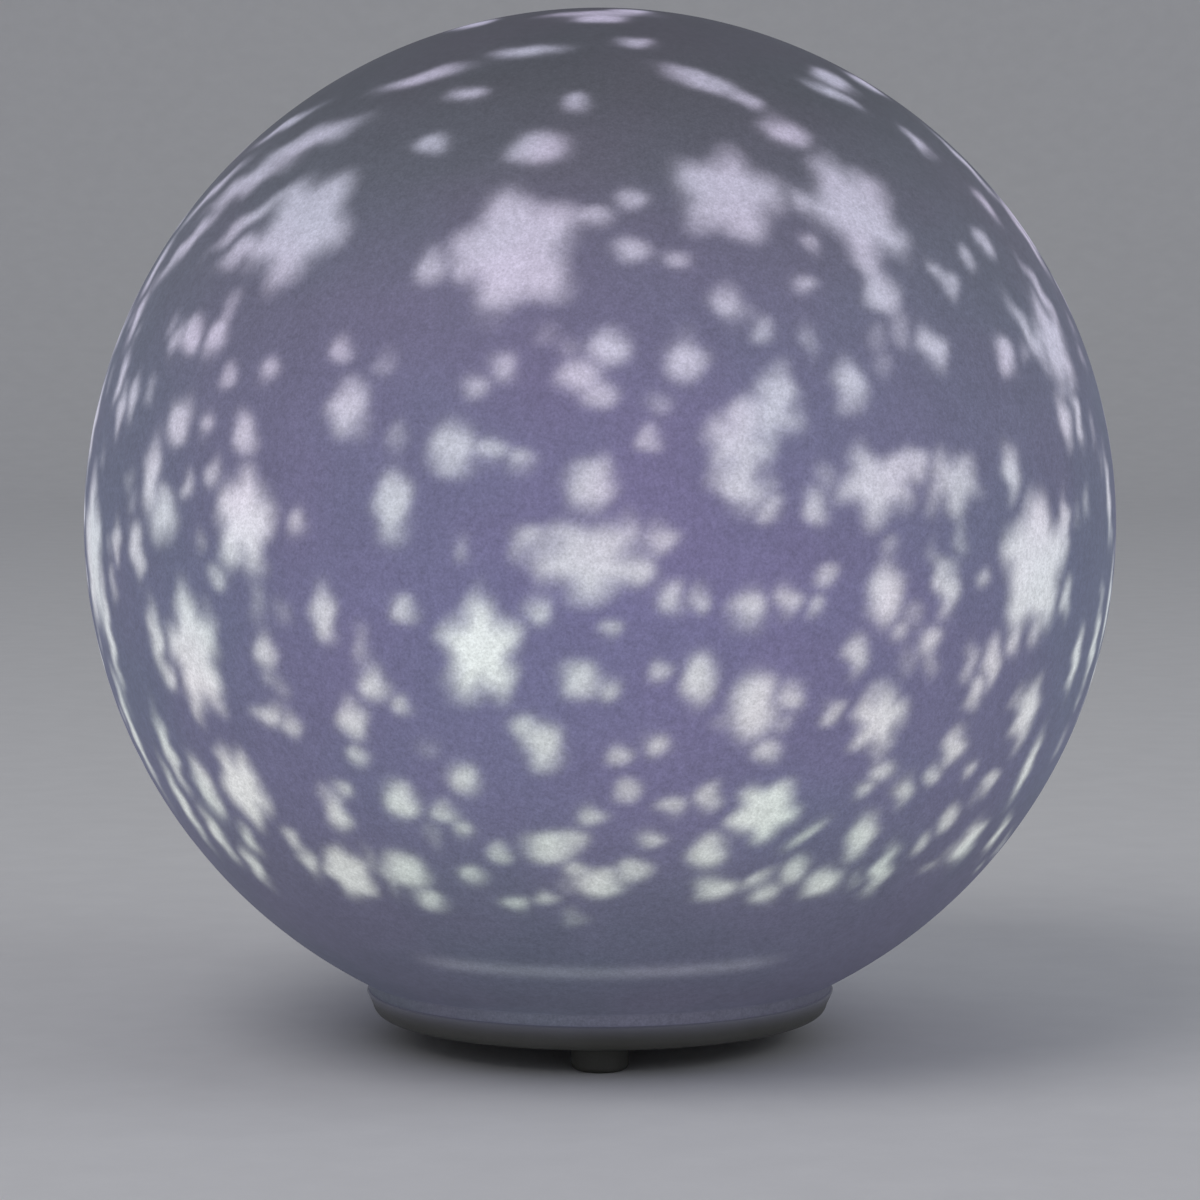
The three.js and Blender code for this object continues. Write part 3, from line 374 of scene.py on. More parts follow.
# Spots: azimuth and height angle as above, then width and height in millimetres.
SPOTS = [
    # upper
    (-9, 45, 10, 7), (-4, 53, 4, 5), (-26, 46, 6, 4), (-24, 54, 7, 4), (4, 38, 5, 4), (-1, 36, 6, 3),
    (4, 32, 6, 5), (9, 31, 4, 3), (-20, 30, 5, 5), (-16, 30, 4, 4), (30, 48, 9, 7), (14, 26, 5, 6),
    (18, 23, 3, 3), (24, 28, 4, 3), (34, 27, 7, 8), (33, 30, 3, 4), (39, 21, 6, 7), (27, 17, 6, 8),
    (51, 20, 5, 7), (57, 33, 5, 5), (51, 31, 3, 4), (45, 28, 4, 4), (44, 30, 3, 3), (27, 38, 4, 4),
    (26, 33, 3, 3),
    # belt above the equator, left to right
    (-53, 22, 6, 7), (-56, 22, 3, 5), (-48, 22, 5, 7), (-44, 18, 3, 4), (-38, 19, 4, 4), (-29, 21, 4, 4),
    (-27, 15, 7, 9), (-51, 13, 7, 8), (-46, 13, 3, 4), (-40, 12, 5, 6), (-55, 7, 5, 13), (-44, 8, 3, 4),
    (-52, 3, 8, 9), (-48, 6, 3, 3), (-58, 0, 5, 6), (-63, 0, 3, 6), (-32, 3, 3, 4), (-43, -3, 3, 3),
    (-21, 5, 6, 11), (-15, 11, 8, 9), (-11, 11, 5, 4), (-8, 10, 4, 3), (-10, 19, 4, 4), (-13, 17, 4, 3),
    (1, 21, 7, 6), (-2, 18, 7, 5), (0, 16, 5, 4), (9, 20, 7, 7), (5, 12, 3, 3), (19, 17, 5, 6),
    (15, 14, 6, 5), (14, 7, 8, 7), (17, 5, 4, 3), (-1, 7, 8, 8), (22, 5, 4, 5), (34, 9, 5, 5),
    (32, 8, 4, 4), (48, 8, 4, 8), (6, 2, 5, 3), (4, -1, 5, 5), (7, -4, 4, 4), (-7, 2, 4, 3),
    (61, 13, 5, 8), (65, 13, 3, 9), (58, 2, 3, 8),
    # belt below the equator, left to right
    (-29, -6, 4, 8), (-37, -10, 4, 6), (-20, -5, 4, 4), (-38, -17, 6, 3), (-35, -18, 3, 3),
    (-24, -13, 5, 6), (-27, -17, 5, 6), (-21, -15, 3, 3), (-27, -21, 3, 3), (-55, -10, 4, 10),
    (-54, -14, 4, 5), (-57, -2, 3, 5), (-6, -5, 4, 4), (1, -7, 2, 2), (-2, -12, 6, 5), (1, -13, 3, 3),
    (6, -11, 2, 3), (10, -12, 5, 8), (10, -4, 2, 3), (15, -5, 5, 6), (19, -4, 4, 4), (23, -2, 3, 3),
    (22, -5, 2, 2), (30, -4, 7, 10), (38, -4, 4, 8), (37, -2, 3, 4), (43, -3, 2, 2), (36, -9, 4, 5),
    (27, -10, 4, 5), (32, -8, 2, 2), (16, -15, 8, 12), (20, -14, 3, 4), (18, -20, 4, 3), (25, -16, 3, 3),
    (-6, -19, 6, 8), (-8, -17, 4, 4), (6, -19, 4, 4), (2, -20, 3, 3), (-15, -23, 5, 6), (59, -6, 3, 6),
    (65, -13, 3, 10), (46, -12, 3, 7), (49, -10, 3, 5), (44, -15, 3, 5), (55, -18, 7, 11),
    (43, -21, 5, 6), (47, -24, 2, 3),
    # lowest belt, left to right
    (-60, -23, 4, 14), (-54, -27, 6, 12), (-58, -33, 4, 10), (-53, -37, 4, 8), (-50, -33, 3, 6),
    (-64, -30, 4, 16), (-32, -28, 4, 7), (-30, -25, 3, 3), (-34, -36, 8, 11), (-40, -35, 3, 6),
    (-41, -32, 3, 3), (-23, -26, 6, 7), (-18, -27, 4, 3), (-25, -35, 8, 8), (-23, -39, 5, 4),
    (-16, -35, 4, 3), (-16, -29, 3, 3), (-12, -32, 3, 3), (-6, -31, 8, 6), (-3, -30, 4, 3),
    (-11, -39, 4, 3), (-7, -38, 3, 2), (-1, -27, 4, 3), (3, -24, 3, 3), (-3, -34, 4, 3), (0, -36, 8, 6),
    (4, -34, 5, 4), (8, -26, 4, 3), (12, -25, 4, 4), (6, -30, 4, 2), (13, -32, 6, 7), (15, -37, 6, 5),
    (25, -35, 4, 6), (22, -38, 4, 5), (30, -37, 7, 6), (33, -31, 5, 9), (39, -36, 4, 10), (31, -25, 3, 2),
    (33, -23, 4, 4), (37, -26, 3, 4), (41, -24, 3, 3), (47, -30, 4, 5), (55, -34, 6, 9), (52, -26, 4, 4),
    (61, -25, 3, 12), (44, -33, 2, 3), (64, -34, 3, 8),
    # far sides and the top
    (-69, -10, 4, 22), (-72, -22, 4, 22), (-66, 14, 3, 8), (-69, 17, 3, 8), (-63, 15, 3, 7),
    (-80, 12, 6, 20), (-82, -16, 6, 20), (-76, 30, 4, 12), (-72, 24, 3, 10), (74, 4, 3, 14),
    (72, -12, 4, 14), (78, -8, 4, 16), (77, 34, 4, 16), (75, 44, 4, 16), (84, 12, 5, 16),
    (86, -20, 6, 14), (-86, 28, 6, 12), (-86, -4, 7, 9), (60, 47, 5, 6), (66, 38, 4, 6), (55, 58, 9, 8),
    (72, 58, 8, 8), (10, 66, 6, 4), (20, 80, 8, 7), (-60, 74, 9, 8), (-86, 62, 9, 8), (0, 75, 10, 6),
    (88, 46, 8, 9),
    # out of the camera's sight
    (83, 27, 6, 7), (87, 18, 5, 6), (98, 36, 4, 5), (91, 34, 6, 5), (93, 9, 5, 4), (98, 12, 7, 6),
    (91, 2, 5, 6), (99, 2, 5, 6), (95, -8, 6, 7), (80, -16, 5, 6), (90, -18, 6, 6), (99, -14, 4, 5),
    (83, -31, 6, 7), (90, -28, 4, 5), (92, -36, 6, 6), (85, -37, 4, 5), (98, -34, 4, 5), (96, 46, 6, 6),
    (83, 37, 4, 5), (100, -5, 3, 4), (84, 4, 4, 5), (95, -16, 3, 3), (88, -23, 3, 4), (86, 33, 3, 3),
]

# Streaks: azimuth and height angle, then length and width in millimetres, and the direction of the length.
STREAKS = [
    (20, 57, 17, 7, 142), (26, 53, 8, 5, 140), (-17, 64, 14, 6, 12), (-52, 47, 26, 8, 28),
    (-60, 41, 24, 8, 30), (-38, 58, 18, 5, 25), (-66, 33, 22, 6, 52), (-52, 36, 20, 5, 42),
    (-50, 32, 12, 6, 30), (-72, 40, 20, 5, 55), (-67, 50, 16, 5, 40), (49, 55, 12, 5, 130),
    (58, 22, 16, 5, 115), (67, 27, 14, 5, 112), (25, -30, 9, 3, 42), (20, -36, 8, 3, 40),
    (-2, 78, 20, 7, 5),
]

# Bare glow of the ball by height angle, as display colours: in front, and towards the sides.
GLOW_HEIGHTS = (-64, -62.7, -61.5, -58, -50, -42, -36, -25, -5, 15, 30, 42, 55, 90)
GLOW_FRONT = [
    (94, 96, 112), (88, 90, 106), (80, 83, 99), (79, 81, 98), (82, 86, 105), (90, 92, 114), (98, 100, 124),
    (111, 110, 144), (117, 113, 154), (114, 110, 147), (104, 102, 130), (88, 89, 105), (72, 74, 84),
    (48, 50, 60),
]
GLOW_SIDE = [
    (74, 77, 88), (72, 75, 88), (68, 70, 87), (71, 73, 90), (78, 80, 98), (84, 86, 106), (88, 91, 111),
    (95, 99, 123), (99, 104, 128), (99, 104, 124), (94, 98, 113), (84, 88, 100), (70, 73, 83), (48, 50, 60),
]
GLOW_FOCUS = 3  # more keeps the front's glow to a narrower front
BAND_HEIGHT = -51  # a paler band of light low on the front and the rear
BAND_HALF = 1.3  # degrees
BAND_REACH = 33  # degrees to each side
BAND_FADE = 8  # degrees over which its ends fade out
BAND_RISE = 900  # it climbs by the square of the degrees to the side over this
BAND_COLOUR = (84, 85, 88)
STAR_HEIGHTS = (-45, -30, -15, 0, 20, 40, 90)
STAR_COLOURS = [
    (204, 214, 208), (222, 229, 225), (232, 235, 237), (228, 229, 238), (216, 213, 234), (204, 201, 223),
    (190, 186, 212),
]
BLUR_HEIGHTS = (-40, -10, 20, 50, 90)
BLUR_WIDTHS = (4.8, 5.8, 6.7, 7.8, 9.2)  # width of a star's soft edge in millimetres
BLUR_FADE = 1.35  # the edge falls away faster than a plain ramp
STAR_WAIST = 0.72  # radius of a star's notches as a share of its points'
STAR_ROUNDING = 0.28  # radius of the rounding on its tips, as a share of the same
SPOT_SPREAD = 1.1  # a spot is drawn this much wider than listed, after its blur is added
SPOT_BLUR = 3  # millimetres of blur that even the smallest spot has
SPOT_FALL = 1.15  # how fast a spot's light falls off across its half width
SPOT_EDGE = 1.7  # 2 is a soft blob, more gives it a flatter middle
SPOT_FIRMNESS = 0.18  # how much that grows with each millimetre of size
SPOT_STRENGTH = 0.95
STREAK_STRENGTH = 0.85
DIMMEST = 0.14  # brightness that a mark of no size would have
BRIGHTENING = 0.055  # what each millimetre of width and height adds
COVER = 0.95  # share of the bare glow that a full mark hides
MARK_REACH = 0.75  # how far from its middle a mark is worked out, in sizes, besides its blur
FAINT_SEED = 31
FAINT_COUNT = 130
# Lowest and highest azimuth, height angle, width, height and strength of the faint spots.
FAINT_RANGES = ((-90, -41, 3.2, 3.2, 0.22), (90, 26, 5.5, 7.5, 0.5))
WOBBLE = 0.45  # millimetres by which the frosting bends the edges
WOBBLE_LENGTH = 6  # millimetres between the bends
WOBBLE_SEED = 7
WOBBLE_WAVES = 8
WOBBLE_PHASE = 6.28  # highest phase of a wave, about a full turn


def star_gap(x, y, point):
    """Signed distance to a round-tipped five-pointed star of radius 1, negative inside.

    point is the direction of one tip in degrees."""
    turn = math.radians(90 - point)
    x, y = x * math.cos(turn) - y * math.sin(turn), x * math.sin(turn) + y * math.cos(turn)
    first = np.array([math.cos(math.radians(36)), -math.sin(math.radians(36))])
    second = first * (-1, 1)
    x = np.abs(x)
    for k in (first, second):
        over = 2 * np.maximum(k[0] * x + k[1] * y, 0)
        x, y = x - over * k[0], y - over * k[1]
    tip = 1 - STAR_ROUNDING
    x, y = np.abs(x), y - tip
    side = (STAR_WAIST - STAR_ROUNDING) * np.array([-first[1], first[0]]) - (0, tip)
    along = np.clip((x * side[0] + y * side[1]) / (side @ side), 0, 1)
    gap = np.hypot(x - side[0] * along, y - side[1] * along)
    return gap * np.sign(y * side[0] - x * side[1]) - STAR_ROUNDING


def shaped(colours, heights, at):
    """Scene colours at the height angles in at, between display colours listed by height angle."""
    linear = np.array([srgb(*c) for c in colours])
    return np.stack([np.interp(at, heights, linear[:, i]) for i in range(3)], axis=1)


def tangents(azimuth, height, lean):
    """The middle of a mark as a direction, and its two axes along the ball, the first turned by lean."""
    a, h, turn = math.radians(azimuth), math.radians(height), math.radians(lean)
    middle = np.array([math.sin(a) * math.cos(h), -math.cos(a) * math.cos(h), math.sin(h)])
    east = np.array([math.cos(a), math.sin(a), 0])
    north = np.array([-math.sin(a) * math.sin(h), math.cos(a) * math.sin(h), math.cos(h)])
    first = east * math.cos(turn) + north * math.sin(turn)
    second = north * math.cos(turn) - east * math.sin(turn)
    return middle, first, second


def wobble(points):
    """Smooth random offsets in millimetres, the same for the same place on the ball."""
    draw = np.random.default_rng(WOBBLE_SEED)
    offset = np.zeros(points.shape)
    for _ in range(WOBBLE_WAVES):
        wave = draw.normal(size=3)
        wave *= 2 * math.pi * GLOBE_RADIUS / (WOBBLE_LENGTH * MM) / np.linalg.norm(wave)
        swing = draw.normal(size=3)
        offset += np.sin(points @ wave + draw.uniform(0, WOBBLE_PHASE))[:, None] * swing
    return offset * WOBBLE / 2


def all_marks():
    """Every mark: azimuth, height angle, width, height, lean, direction of a point or None, strength."""
    marks = [(a, h, w, t, 0, point, strength) for a, h, w, t, point, strength in STARS]
    for azimuth, height, *size in SPOTS:
        width, tall = (SPOT_SPREAD * math.hypot(length, SPOT_BLUR) for length in size)
        marks.append((azimuth, height, width, tall, 0, None, SPOT_STRENGTH))
    marks += [(*streak, None, STREAK_STRENGTH) for streak in STREAKS]
    draw = np.random.default_rng(FAINT_SEED)
    for _ in range(FAINT_COUNT):
        azimuth, height, width, tall, strength = draw.uniform(*FAINT_RANGES)
        marks.append((azimuth, height, width, tall, 0, None, strength))
    return marks


def bare_glow(points, up):
    """The ball's glow without its marks, at points whose height angles are up."""
    front = np.abs(points[:, 1]) / np.maximum(np.hypot(points[:, 0], points[:, 1]), 1e-6)
    facing = np.clip(front, 0, 1)[:, None] ** GLOW_FOCUS
    light = shaped(GLOW_FRONT, GLOW_HEIGHTS, up) * facing + shaped(GLOW_SIDE, GLOW_HEIGHTS, up) * (1 - facing)
    aside = np.degrees(np.arccos(np.clip(front, 0, 1)))
    band = np.exp(-(((up - BAND_HEIGHT - aside**2 / BAND_RISE) / BAND_HALF) ** 2))
    band = band * np.clip((BAND_REACH - aside) / BAND_FADE, 0, 1)
    return light + band[:, None] * np.array(srgb(*BAND_COLOUR))


def light_on_ball(points):
    """The light that leaves each point of the ball, from its direction seen from the ball's middle."""
    up = np.degrees(np.arcsin(np.clip(points[:, 2], -1, 1)))
    light = bare_glow(points, up)
    bend = wobble(points)
    dark = np.ones(len(points))
    extra = np.zeros(len(points))
    marks = all_marks()
    for turn in (0, 180):
        for azimuth, height, width, tall, lean, point, strength in marks:
            middle, east, north = tangents(azimuth + turn, height, lean)
            blur = float(np.interp(height, BLUR_HEIGHTS, BLUR_WIDTHS))
            reach = (max(width, tall) * MARK_REACH + blur) * MM / GLOBE_RADIUS
            near = np.flatnonzero(points @ middle > math.cos(reach))
            offset = points[near] * GLOBE_RADIUS / MM + bend[near]
            x, y = offset @ east / (width / 2), offset @ north / (tall / 2)
            if point is None:
                firm = SPOT_EDGE + SPOT_FIRMNESS * min(width, tall)
                edge = np.exp(-((SPOT_FALL * np.hypot(x, y)) ** firm))
            else:
                edge = np.clip(0.5 - star_gap(x, y, point) * min(width, tall) / 2 / blur, 0, 1)
                edge = (edge * edge * (3 - 2 * edge)) ** BLUR_FADE
            bright = strength * min(1, DIMMEST + BRIGHTENING * (width + tall))
            dark[near] *= 1 - edge * min(bright, 1)
            extra[near] = np.maximum(extra[near], edge * max(bright - 1, 0))
    cover = (1 - dark) * COVER + extra
    white = shaped(STAR_COLOURS, STAR_HEIGHTS, up)
    return light + (white - light) * cover[:, None]


# ---------------------------------------------------------------- the ball

FRONT_COLUMNS = 400
REAR_COLUMNS = 232
BALL_ROWS = 300
INNER_ROWS = 12
FILLET_SINK = 0.35  # how far the fillet's middle sits below the ball's edge, in fillet radii
FILLET_GAP = 0.02 * MM  # kept between the fillet's points and the ball's first one


def make_globe():
    inner = GLOBE_RADIUS - GLOBE_WALL
    join_radius = COLLAR_RADIUS + COLLAR_FILLET
    join_angle = -math.degrees(math.acos(join_radius / GLOBE_RADIUS))
    join_z = GLOBE_CENTRE_Z + GLOBE_RADIUS * math.sin(math.radians(join_angle))
    inner_angle = -math.degrees(math.acos(NECK_RADIUS / inner))
    fillet = arc(join_radius, join_z - COLLAR_FILLET * FILLET_SINK, COLLAR_FILLET, 180, 122, 5)
    outline = [
        (NECK_RADIUS, TRAY_TOP_Z + SEAM),
        (COLLAR_RADIUS, TRAY_TOP_Z + SEAM),
        *[(r, min(z, join_z - FILLET_GAP)) for r, z in fillet if r < join_radius - FILLET_GAP],
        *arc(0, GLOBE_CENTRE_Z, GLOBE_RADIUS, join_angle, 90, BALL_ROWS),
        *arc(0, GLOBE_CENTRE_Z, inner, 90, inner_angle, INNER_ROWS),
    ]
    front = np.linspace(-math.pi, 0, FRONT_COLUMNS, endpoint=False)
    rear = np.linspace(0, math.pi, REAR_COLUMNS, endpoint=False)
    ball = lathe("globe_shell", outline, np.concatenate([front, rear]))

    count = len(ball.data.vertices)
    places = np.zeros(count * 3)
    ball.data.vertices.foreach_get("co", places)
    places = places.reshape(-1, 3) - (0, 0, GLOBE_CENTRE_Z)
    light = light_on_ball(places / np.maximum(np.linalg.norm(places, axis=1), 1e-6)[:, None])
    colours = ball.data.color_attributes.new("thrown_light", "FLOAT_COLOR", "POINT")
    colours.data.foreach_set("color", np.column_stack([light, np.ones(count)]).ravel())
    return ball


EMISSION = 0.8  # share of the ball's glow that is its own light; the room adds the rest
FROST_GRAIN = 0.45 * MM
FROST_FLECKS = 1.3 * MM
FROST_CLOUDS = 9 * MM
FROST_HUES = 38 * MM
FROST_BUMP = 0.02 * MM


def frosted_finish():
    nodes = Nodes("frosted_ball")
    light = nodes.add("ShaderNodeVertexColor", layer_name="thrown_light").outputs["Color"]
    fine = nodes.noise(FROST_GRAIN, detail=3, roughness=0.7)
    cloud = nodes.noise(FROST_CLOUDS, detail=3)
    drift = nodes.noise(FROST_HUES, detail=2)

    hue = nodes.shades(drift, 0.38, 0.62, (0.96, 1.0, 0.985), (1.035, 0.99, 1.02))
    tinted = nodes.blend(1.0, light, hue, kind="MULTIPLY")
    grain = nodes.remap(fine, 0.3, 0.7, 0.83, 1.17)
    flecks = nodes.remap(nodes.noise(FROST_FLECKS, detail=2), 0.32, 0.68, 0.91, 1.09)
    mottle = nodes.maths("MULTIPLY", grain, nodes.remap(cloud, 0.3, 0.7, 0.95, 1.05))
    mottle = nodes.maths("MULTIPLY", mottle, flecks)
    nodes.join(tinted, nodes.shader.inputs["Emission Color"])
    nodes.join(nodes.maths("MULTIPLY", mottle, EMISSION), nodes.shader.inputs["Emission Strength"])
    # The ball's own colour is painted dark, as painted shade, so the room's light adds little to its glow.
    nodes.paint(nodes.shades(fine, 0.3, 0.7, (0.052, 0.051, 0.06), (0.07, 0.068, 0.08)))
    nodes.rough(fine, 0.25, 0.75, 0.5, 0.68)
    nodes.set(Specular_IOR_Level=0.22)
    nodes.bump(fine, FROST_BUMP, 0.5)
    return nodes


# ---------------------------------------------------------------- base, feet and screws

TRAY_LOW_RADIUS = 44.7 * MM
TRAY_EDGE = 2.5 * MM
TRAY_LIP = 0.4 * MM
FLOOR_TOP_Z = TRAY_BOTTOM_Z + 2.2 * MM
SPIGOT_RADIUS = 42.6 * MM
SPIGOT_WALL = 2 * MM
SPIGOT_TOP_Z = tray_high.z
FEET = ("foot_front", "foot_right", "foot_left")
FOOT_RADIUS = 5.4 * MM
FOOT_EDGE = 1.2 * MM
FOOT_STEM_RADIUS = 1.8 * MM
FOOT_SOCKET = 0.6 * MM
GAP = 0.3 * MM
HOUSING_SCREWS = ("housing_screw_right", "housing_screw_left", "housing_screw_rear")
MOTOR_SCREWS = ("motor_screw_right", "motor_screw_left")
SCREW_HEAD_RADIUS = 2.4 * MM
SCREW_HEAD = 1.2 * MM
SHANK_RADIUS = 1 * MM
SCREW_RECESS = 1.4 * MM
THREAD_PITCH = 0.8 * MM
CROSS_LENGTH = 1.3 * MM
CROSS_WIDTH = 0.25 * MM
CROSS_DEPTH = 0.6 * MM
HEAD_EDGE = 0.7 * MM
CORE = 0.8  # radius at the bottom of a thread as a share of its top's
KNOB_TRAVEL = 2 * MM
DOOR_STUB = 1.5 * MM
HINGE_Y = -26 * MM
FINGER_HALF = 7 * MM
FINGER_REACH = 3 * MM


def make_base():
    edge_at = TRAY_LOW_RADIUS - TRAY_EDGE
    inside = SPIGOT_RADIUS - SPIGOT_WALL
    shell = lathe("base_shell", [
        (0, TRAY_BOTTOM_Z),
        *arc(edge_at, TRAY_BOTTOM_Z + TRAY_EDGE, TRAY_EDGE, -90, -8, 10),
        *arc(TRAY_RADIUS - TRAY_LIP, TRAY_TOP_Z - TRAY_LIP, TRAY_LIP, -6, 90, 5),
        (SPIGOT_RADIUS, TRAY_TOP_Z),
        (SPIGOT_RADIUS, SPIGOT_TOP_Z),
        (inside, SPIGOT_TOP_Z),
        (inside, FLOOR_TOP_Z),
        (0, FLOOR_TOP_Z),
    ], even_turns(160))
    below, above = TRAY_BOTTOM_Z - MM, FLOOR_TOP_Z + MM

    door_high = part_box("battery_door")[1]
    half_x = door_high.x - DOOR_STUB + GAP
    slot_x = door_high.x + GAP
    back = door_high.y
    finger_y = back + FINGER_REACH
    knob_low, knob_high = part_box("switch_knob")
    knob_x = knob_high.x + KNOB_TRAVEL + GAP
    cutters = [
        box_mesh("opening", (-half_x, -back - GAP, below), (half_x, back + GAP, above)),
        box_mesh("stubs", (-slot_x, HINGE_Y - MM, TRAY_BOTTOM_Z + GAP), (slot_x, HINGE_Y + MM, above)),
        box_mesh("finger", (-FINGER_HALF, back, below), (FINGER_HALF, finger_y, TRAY_BOTTOM_Z + MM)),
        box_mesh("knob", (-knob_x, knob_low.y - GAP, below), (knob_x, knob_high.y + GAP, above)),
    ]
    for name in HOUSING_SCREWS:
        at = middle_of(name)
        cutters.append(drum("shank", SHANK_RADIUS + GAP, below, above, at))
        cutters.append(drum("head", SCREW_HEAD_RADIUS + GAP, below, TRAY_BOTTOM_Z + SCREW_RECESS, at))
    for name in FEET:
        at = middle_of(name)
        cutters.append(drum("socket", FOOT_RADIUS + GAP, below, TRAY_BOTTOM_Z + FOOT_SOCKET, at))
        cutters.append(drum("stem", FOOT_STEM_RADIUS + GAP, below, above, at))
    return soften(carve(shell, cutters), 0.15 * MM, angle=35)


def make_foot(node):
    low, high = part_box(node)
    top = TRAY_BOTTOM_Z + FOOT_SOCKET - GAP
    foot = lathe(node + "_pad", [
        (0, low.z),
        *arc(FOOT_RADIUS - FOOT_EDGE, low.z + FOOT_EDGE, FOOT_EDGE, -90, 0, 8),
        (FOOT_RADIUS, top),
        (FOOT_STEM_RADIUS, top),
        (FOOT_STEM_RADIUS, high.z),
        (0, high.z),
    ], even_turns(64))
    place = (low + high) / 2
    foot.data.transform(Matrix.Translation((place.x, place.y, 0)))
    return soften(foot, 0.12 * MM, angle=50)


def make_screw(node):
    """A pan-head screw with its head down, a cross recess and a thread drawn as rings."""
    low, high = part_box(node)
    tip = high.z - low.z
    rings = []
    turns = int((tip - SCREW_HEAD - SHANK_RADIUS) / THREAD_PITCH)
    for i in range(turns):
        at = SCREW_HEAD + THREAD_PITCH * (i + 0.3)
        rings += [(SHANK_RADIUS * CORE, at), (SHANK_RADIUS, at + THREAD_PITCH / 3)]
    screw = lathe(node + "_steel", [
        (0, 0),
        *arc(SCREW_HEAD_RADIUS - HEAD_EDGE, HEAD_EDGE, HEAD_EDGE, -80, 0, 6),
        (SCREW_HEAD_RADIUS, SCREW_HEAD),
        (SHANK_RADIUS * CORE, SCREW_HEAD),
        *rings,
        (SHANK_RADIUS * CORE, tip - SHANK_RADIUS),
        (0, tip),
    ], even_turns(40))
    cross = [(CROSS_LENGTH, CROSS_WIDTH), (CROSS_WIDTH, CROSS_LENGTH)]
    carve(screw, [box_mesh("cross", (-x, -y, -MM), (x, y, CROSS_DEPTH)) for x, y in cross])
    place = (low + high) / 2
    # Each screw stops at its own angle.
    turn = Matrix.Rotation(math.radians(25 + 40 * place.x / MM), 4, "Z")
    screw.data.transform(Matrix.Translation((place.x, place.y, low.z)) @ turn)
    return soften(screw, 0.06 * MM, angle=40)


# ---------------------------------------------------------------- tower housing

housing_low, housing_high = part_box("tower_housing")
HOUSING_RADIUS = housing_high.x
HOUSING_TOP_RADIUS = 38.5 * MM
HOUSING_WALL = 1.6 * MM
HOUSING_ROOF = 1.8 * MM
SHOULDER_Z = 24 * MM
BOSS_RADIUS = 2.6 * MM
BOSS_LENGTH = 13 * MM
HOUSING_EDGE = 1.5 * MM
RIB_HALF = 0.8 * MM
TUBE_HOLE = 3.9 * MM
PIN_HOLE = 1.55 * MM
MOTOR_HOLE = 4.5 * MM


def make_housing():
    low, top = housing_low.z, housing_high.z
    inside = HOUSING_RADIUS - HOUSING_WALL
    shell = lathe("housing_shell", [
        (inside, low),
        (HOUSING_RADIUS, low),
        (HOUSING_RADIUS, SHOULDER_Z),
        *arc(HOUSING_TOP_RADIUS - HOUSING_EDGE, top - HOUSING_EDGE, HOUSING_EDGE, 5, 90, 6),
        (0, top),
        (0, top - HOUSING_ROOF),
        (HOUSING_TOP_RADIUS - HOUSING_WALL, top - HOUSING_ROOF),
        (inside, SHOULDER_Z),
    ], even_turns(128))
    bosses, holes = [], []
    boss_top = low + BOSS_LENGTH
    for name in HOUSING_SCREWS:
        at = middle_of(name)
        bosses.append(drum("boss", BOSS_RADIUS, low, boss_top, at, 32))
        reach = math.hypot(at.x, at.y)
        rib_end = HOUSING_RADIUS - HOUSING_WALL / 2
        rib = box_mesh("rib", (reach, -RIB_HALF, low), (rib_end, RIB_HALF, boss_top))
        rib.rotation_euler.z = math.atan2(at.y, at.x)
        bosses.append(rib)
        holes.append(drum("hole", SHANK_RADIUS + GAP, 0, boss_top - MM / 2, at, 32))
    through = (top - HOUSING_ROOF - MM, top + MM)
    holes.append(drum("tube", TUBE_HOLE, *through))
    holes.append(drum("pin", PIN_HOLE, *through, middle_of("idler_pin")))
    holes.append(drum("motor", MOTOR_HOLE, *through, middle_of("motor_shaft")))
    for name in MOTOR_SCREWS:
        holes.append(drum("ear", SHANK_RADIUS + GAP, *through, middle_of(name), 32))
    return soften(carve(shell, holes, bosses), 0.15 * MM, angle=35)


# ---------------------------------------------------------------- star mask and its tray

LAMP_Z = 60 * MM
MASK_RADIUS = 30 * MM
MASK_WALL = 1.2 * MM
MASK_RIM_Z = 50.2 * MM
HOLE_WAIST = 0.5  # radius of a cut star's notches as a share of its points'
HOLE_MARGIN = 1.2  # degrees of plastic left between two holes
SMALLEST_HOLE = 1.1  # degrees from a hole's middle to its edge
STAR_CORNERS = 10
SPOT_CORNERS = 16
MASK_ROWS = 48


def punch(mark, turn):
    """Directions from the lamp to the corners of a mark's outline on the ball."""
    azimuth, height, width, tall, *star = mark
    middle, east, north = tangents(azimuth + turn, height, 0)
    corners = []
    count = STAR_CORNERS if star else SPOT_CORNERS
    for i in range(count):
        angle = math.radians((star[0] if star else 0) + 360 / count * i)
        share = HOLE_WAIST if star and i % 2 else 1
        x, y = share * width / 2 * math.cos(angle), share * tall / 2 * math.sin(angle)
        spot = middle * GLOBE_RADIUS + (east * x + north * y) * MM
        corners.append(Vector((spot[0], spot[1], spot[2] + GLOBE_CENTRE_Z - LAMP_Z)).normalized())
    return corners


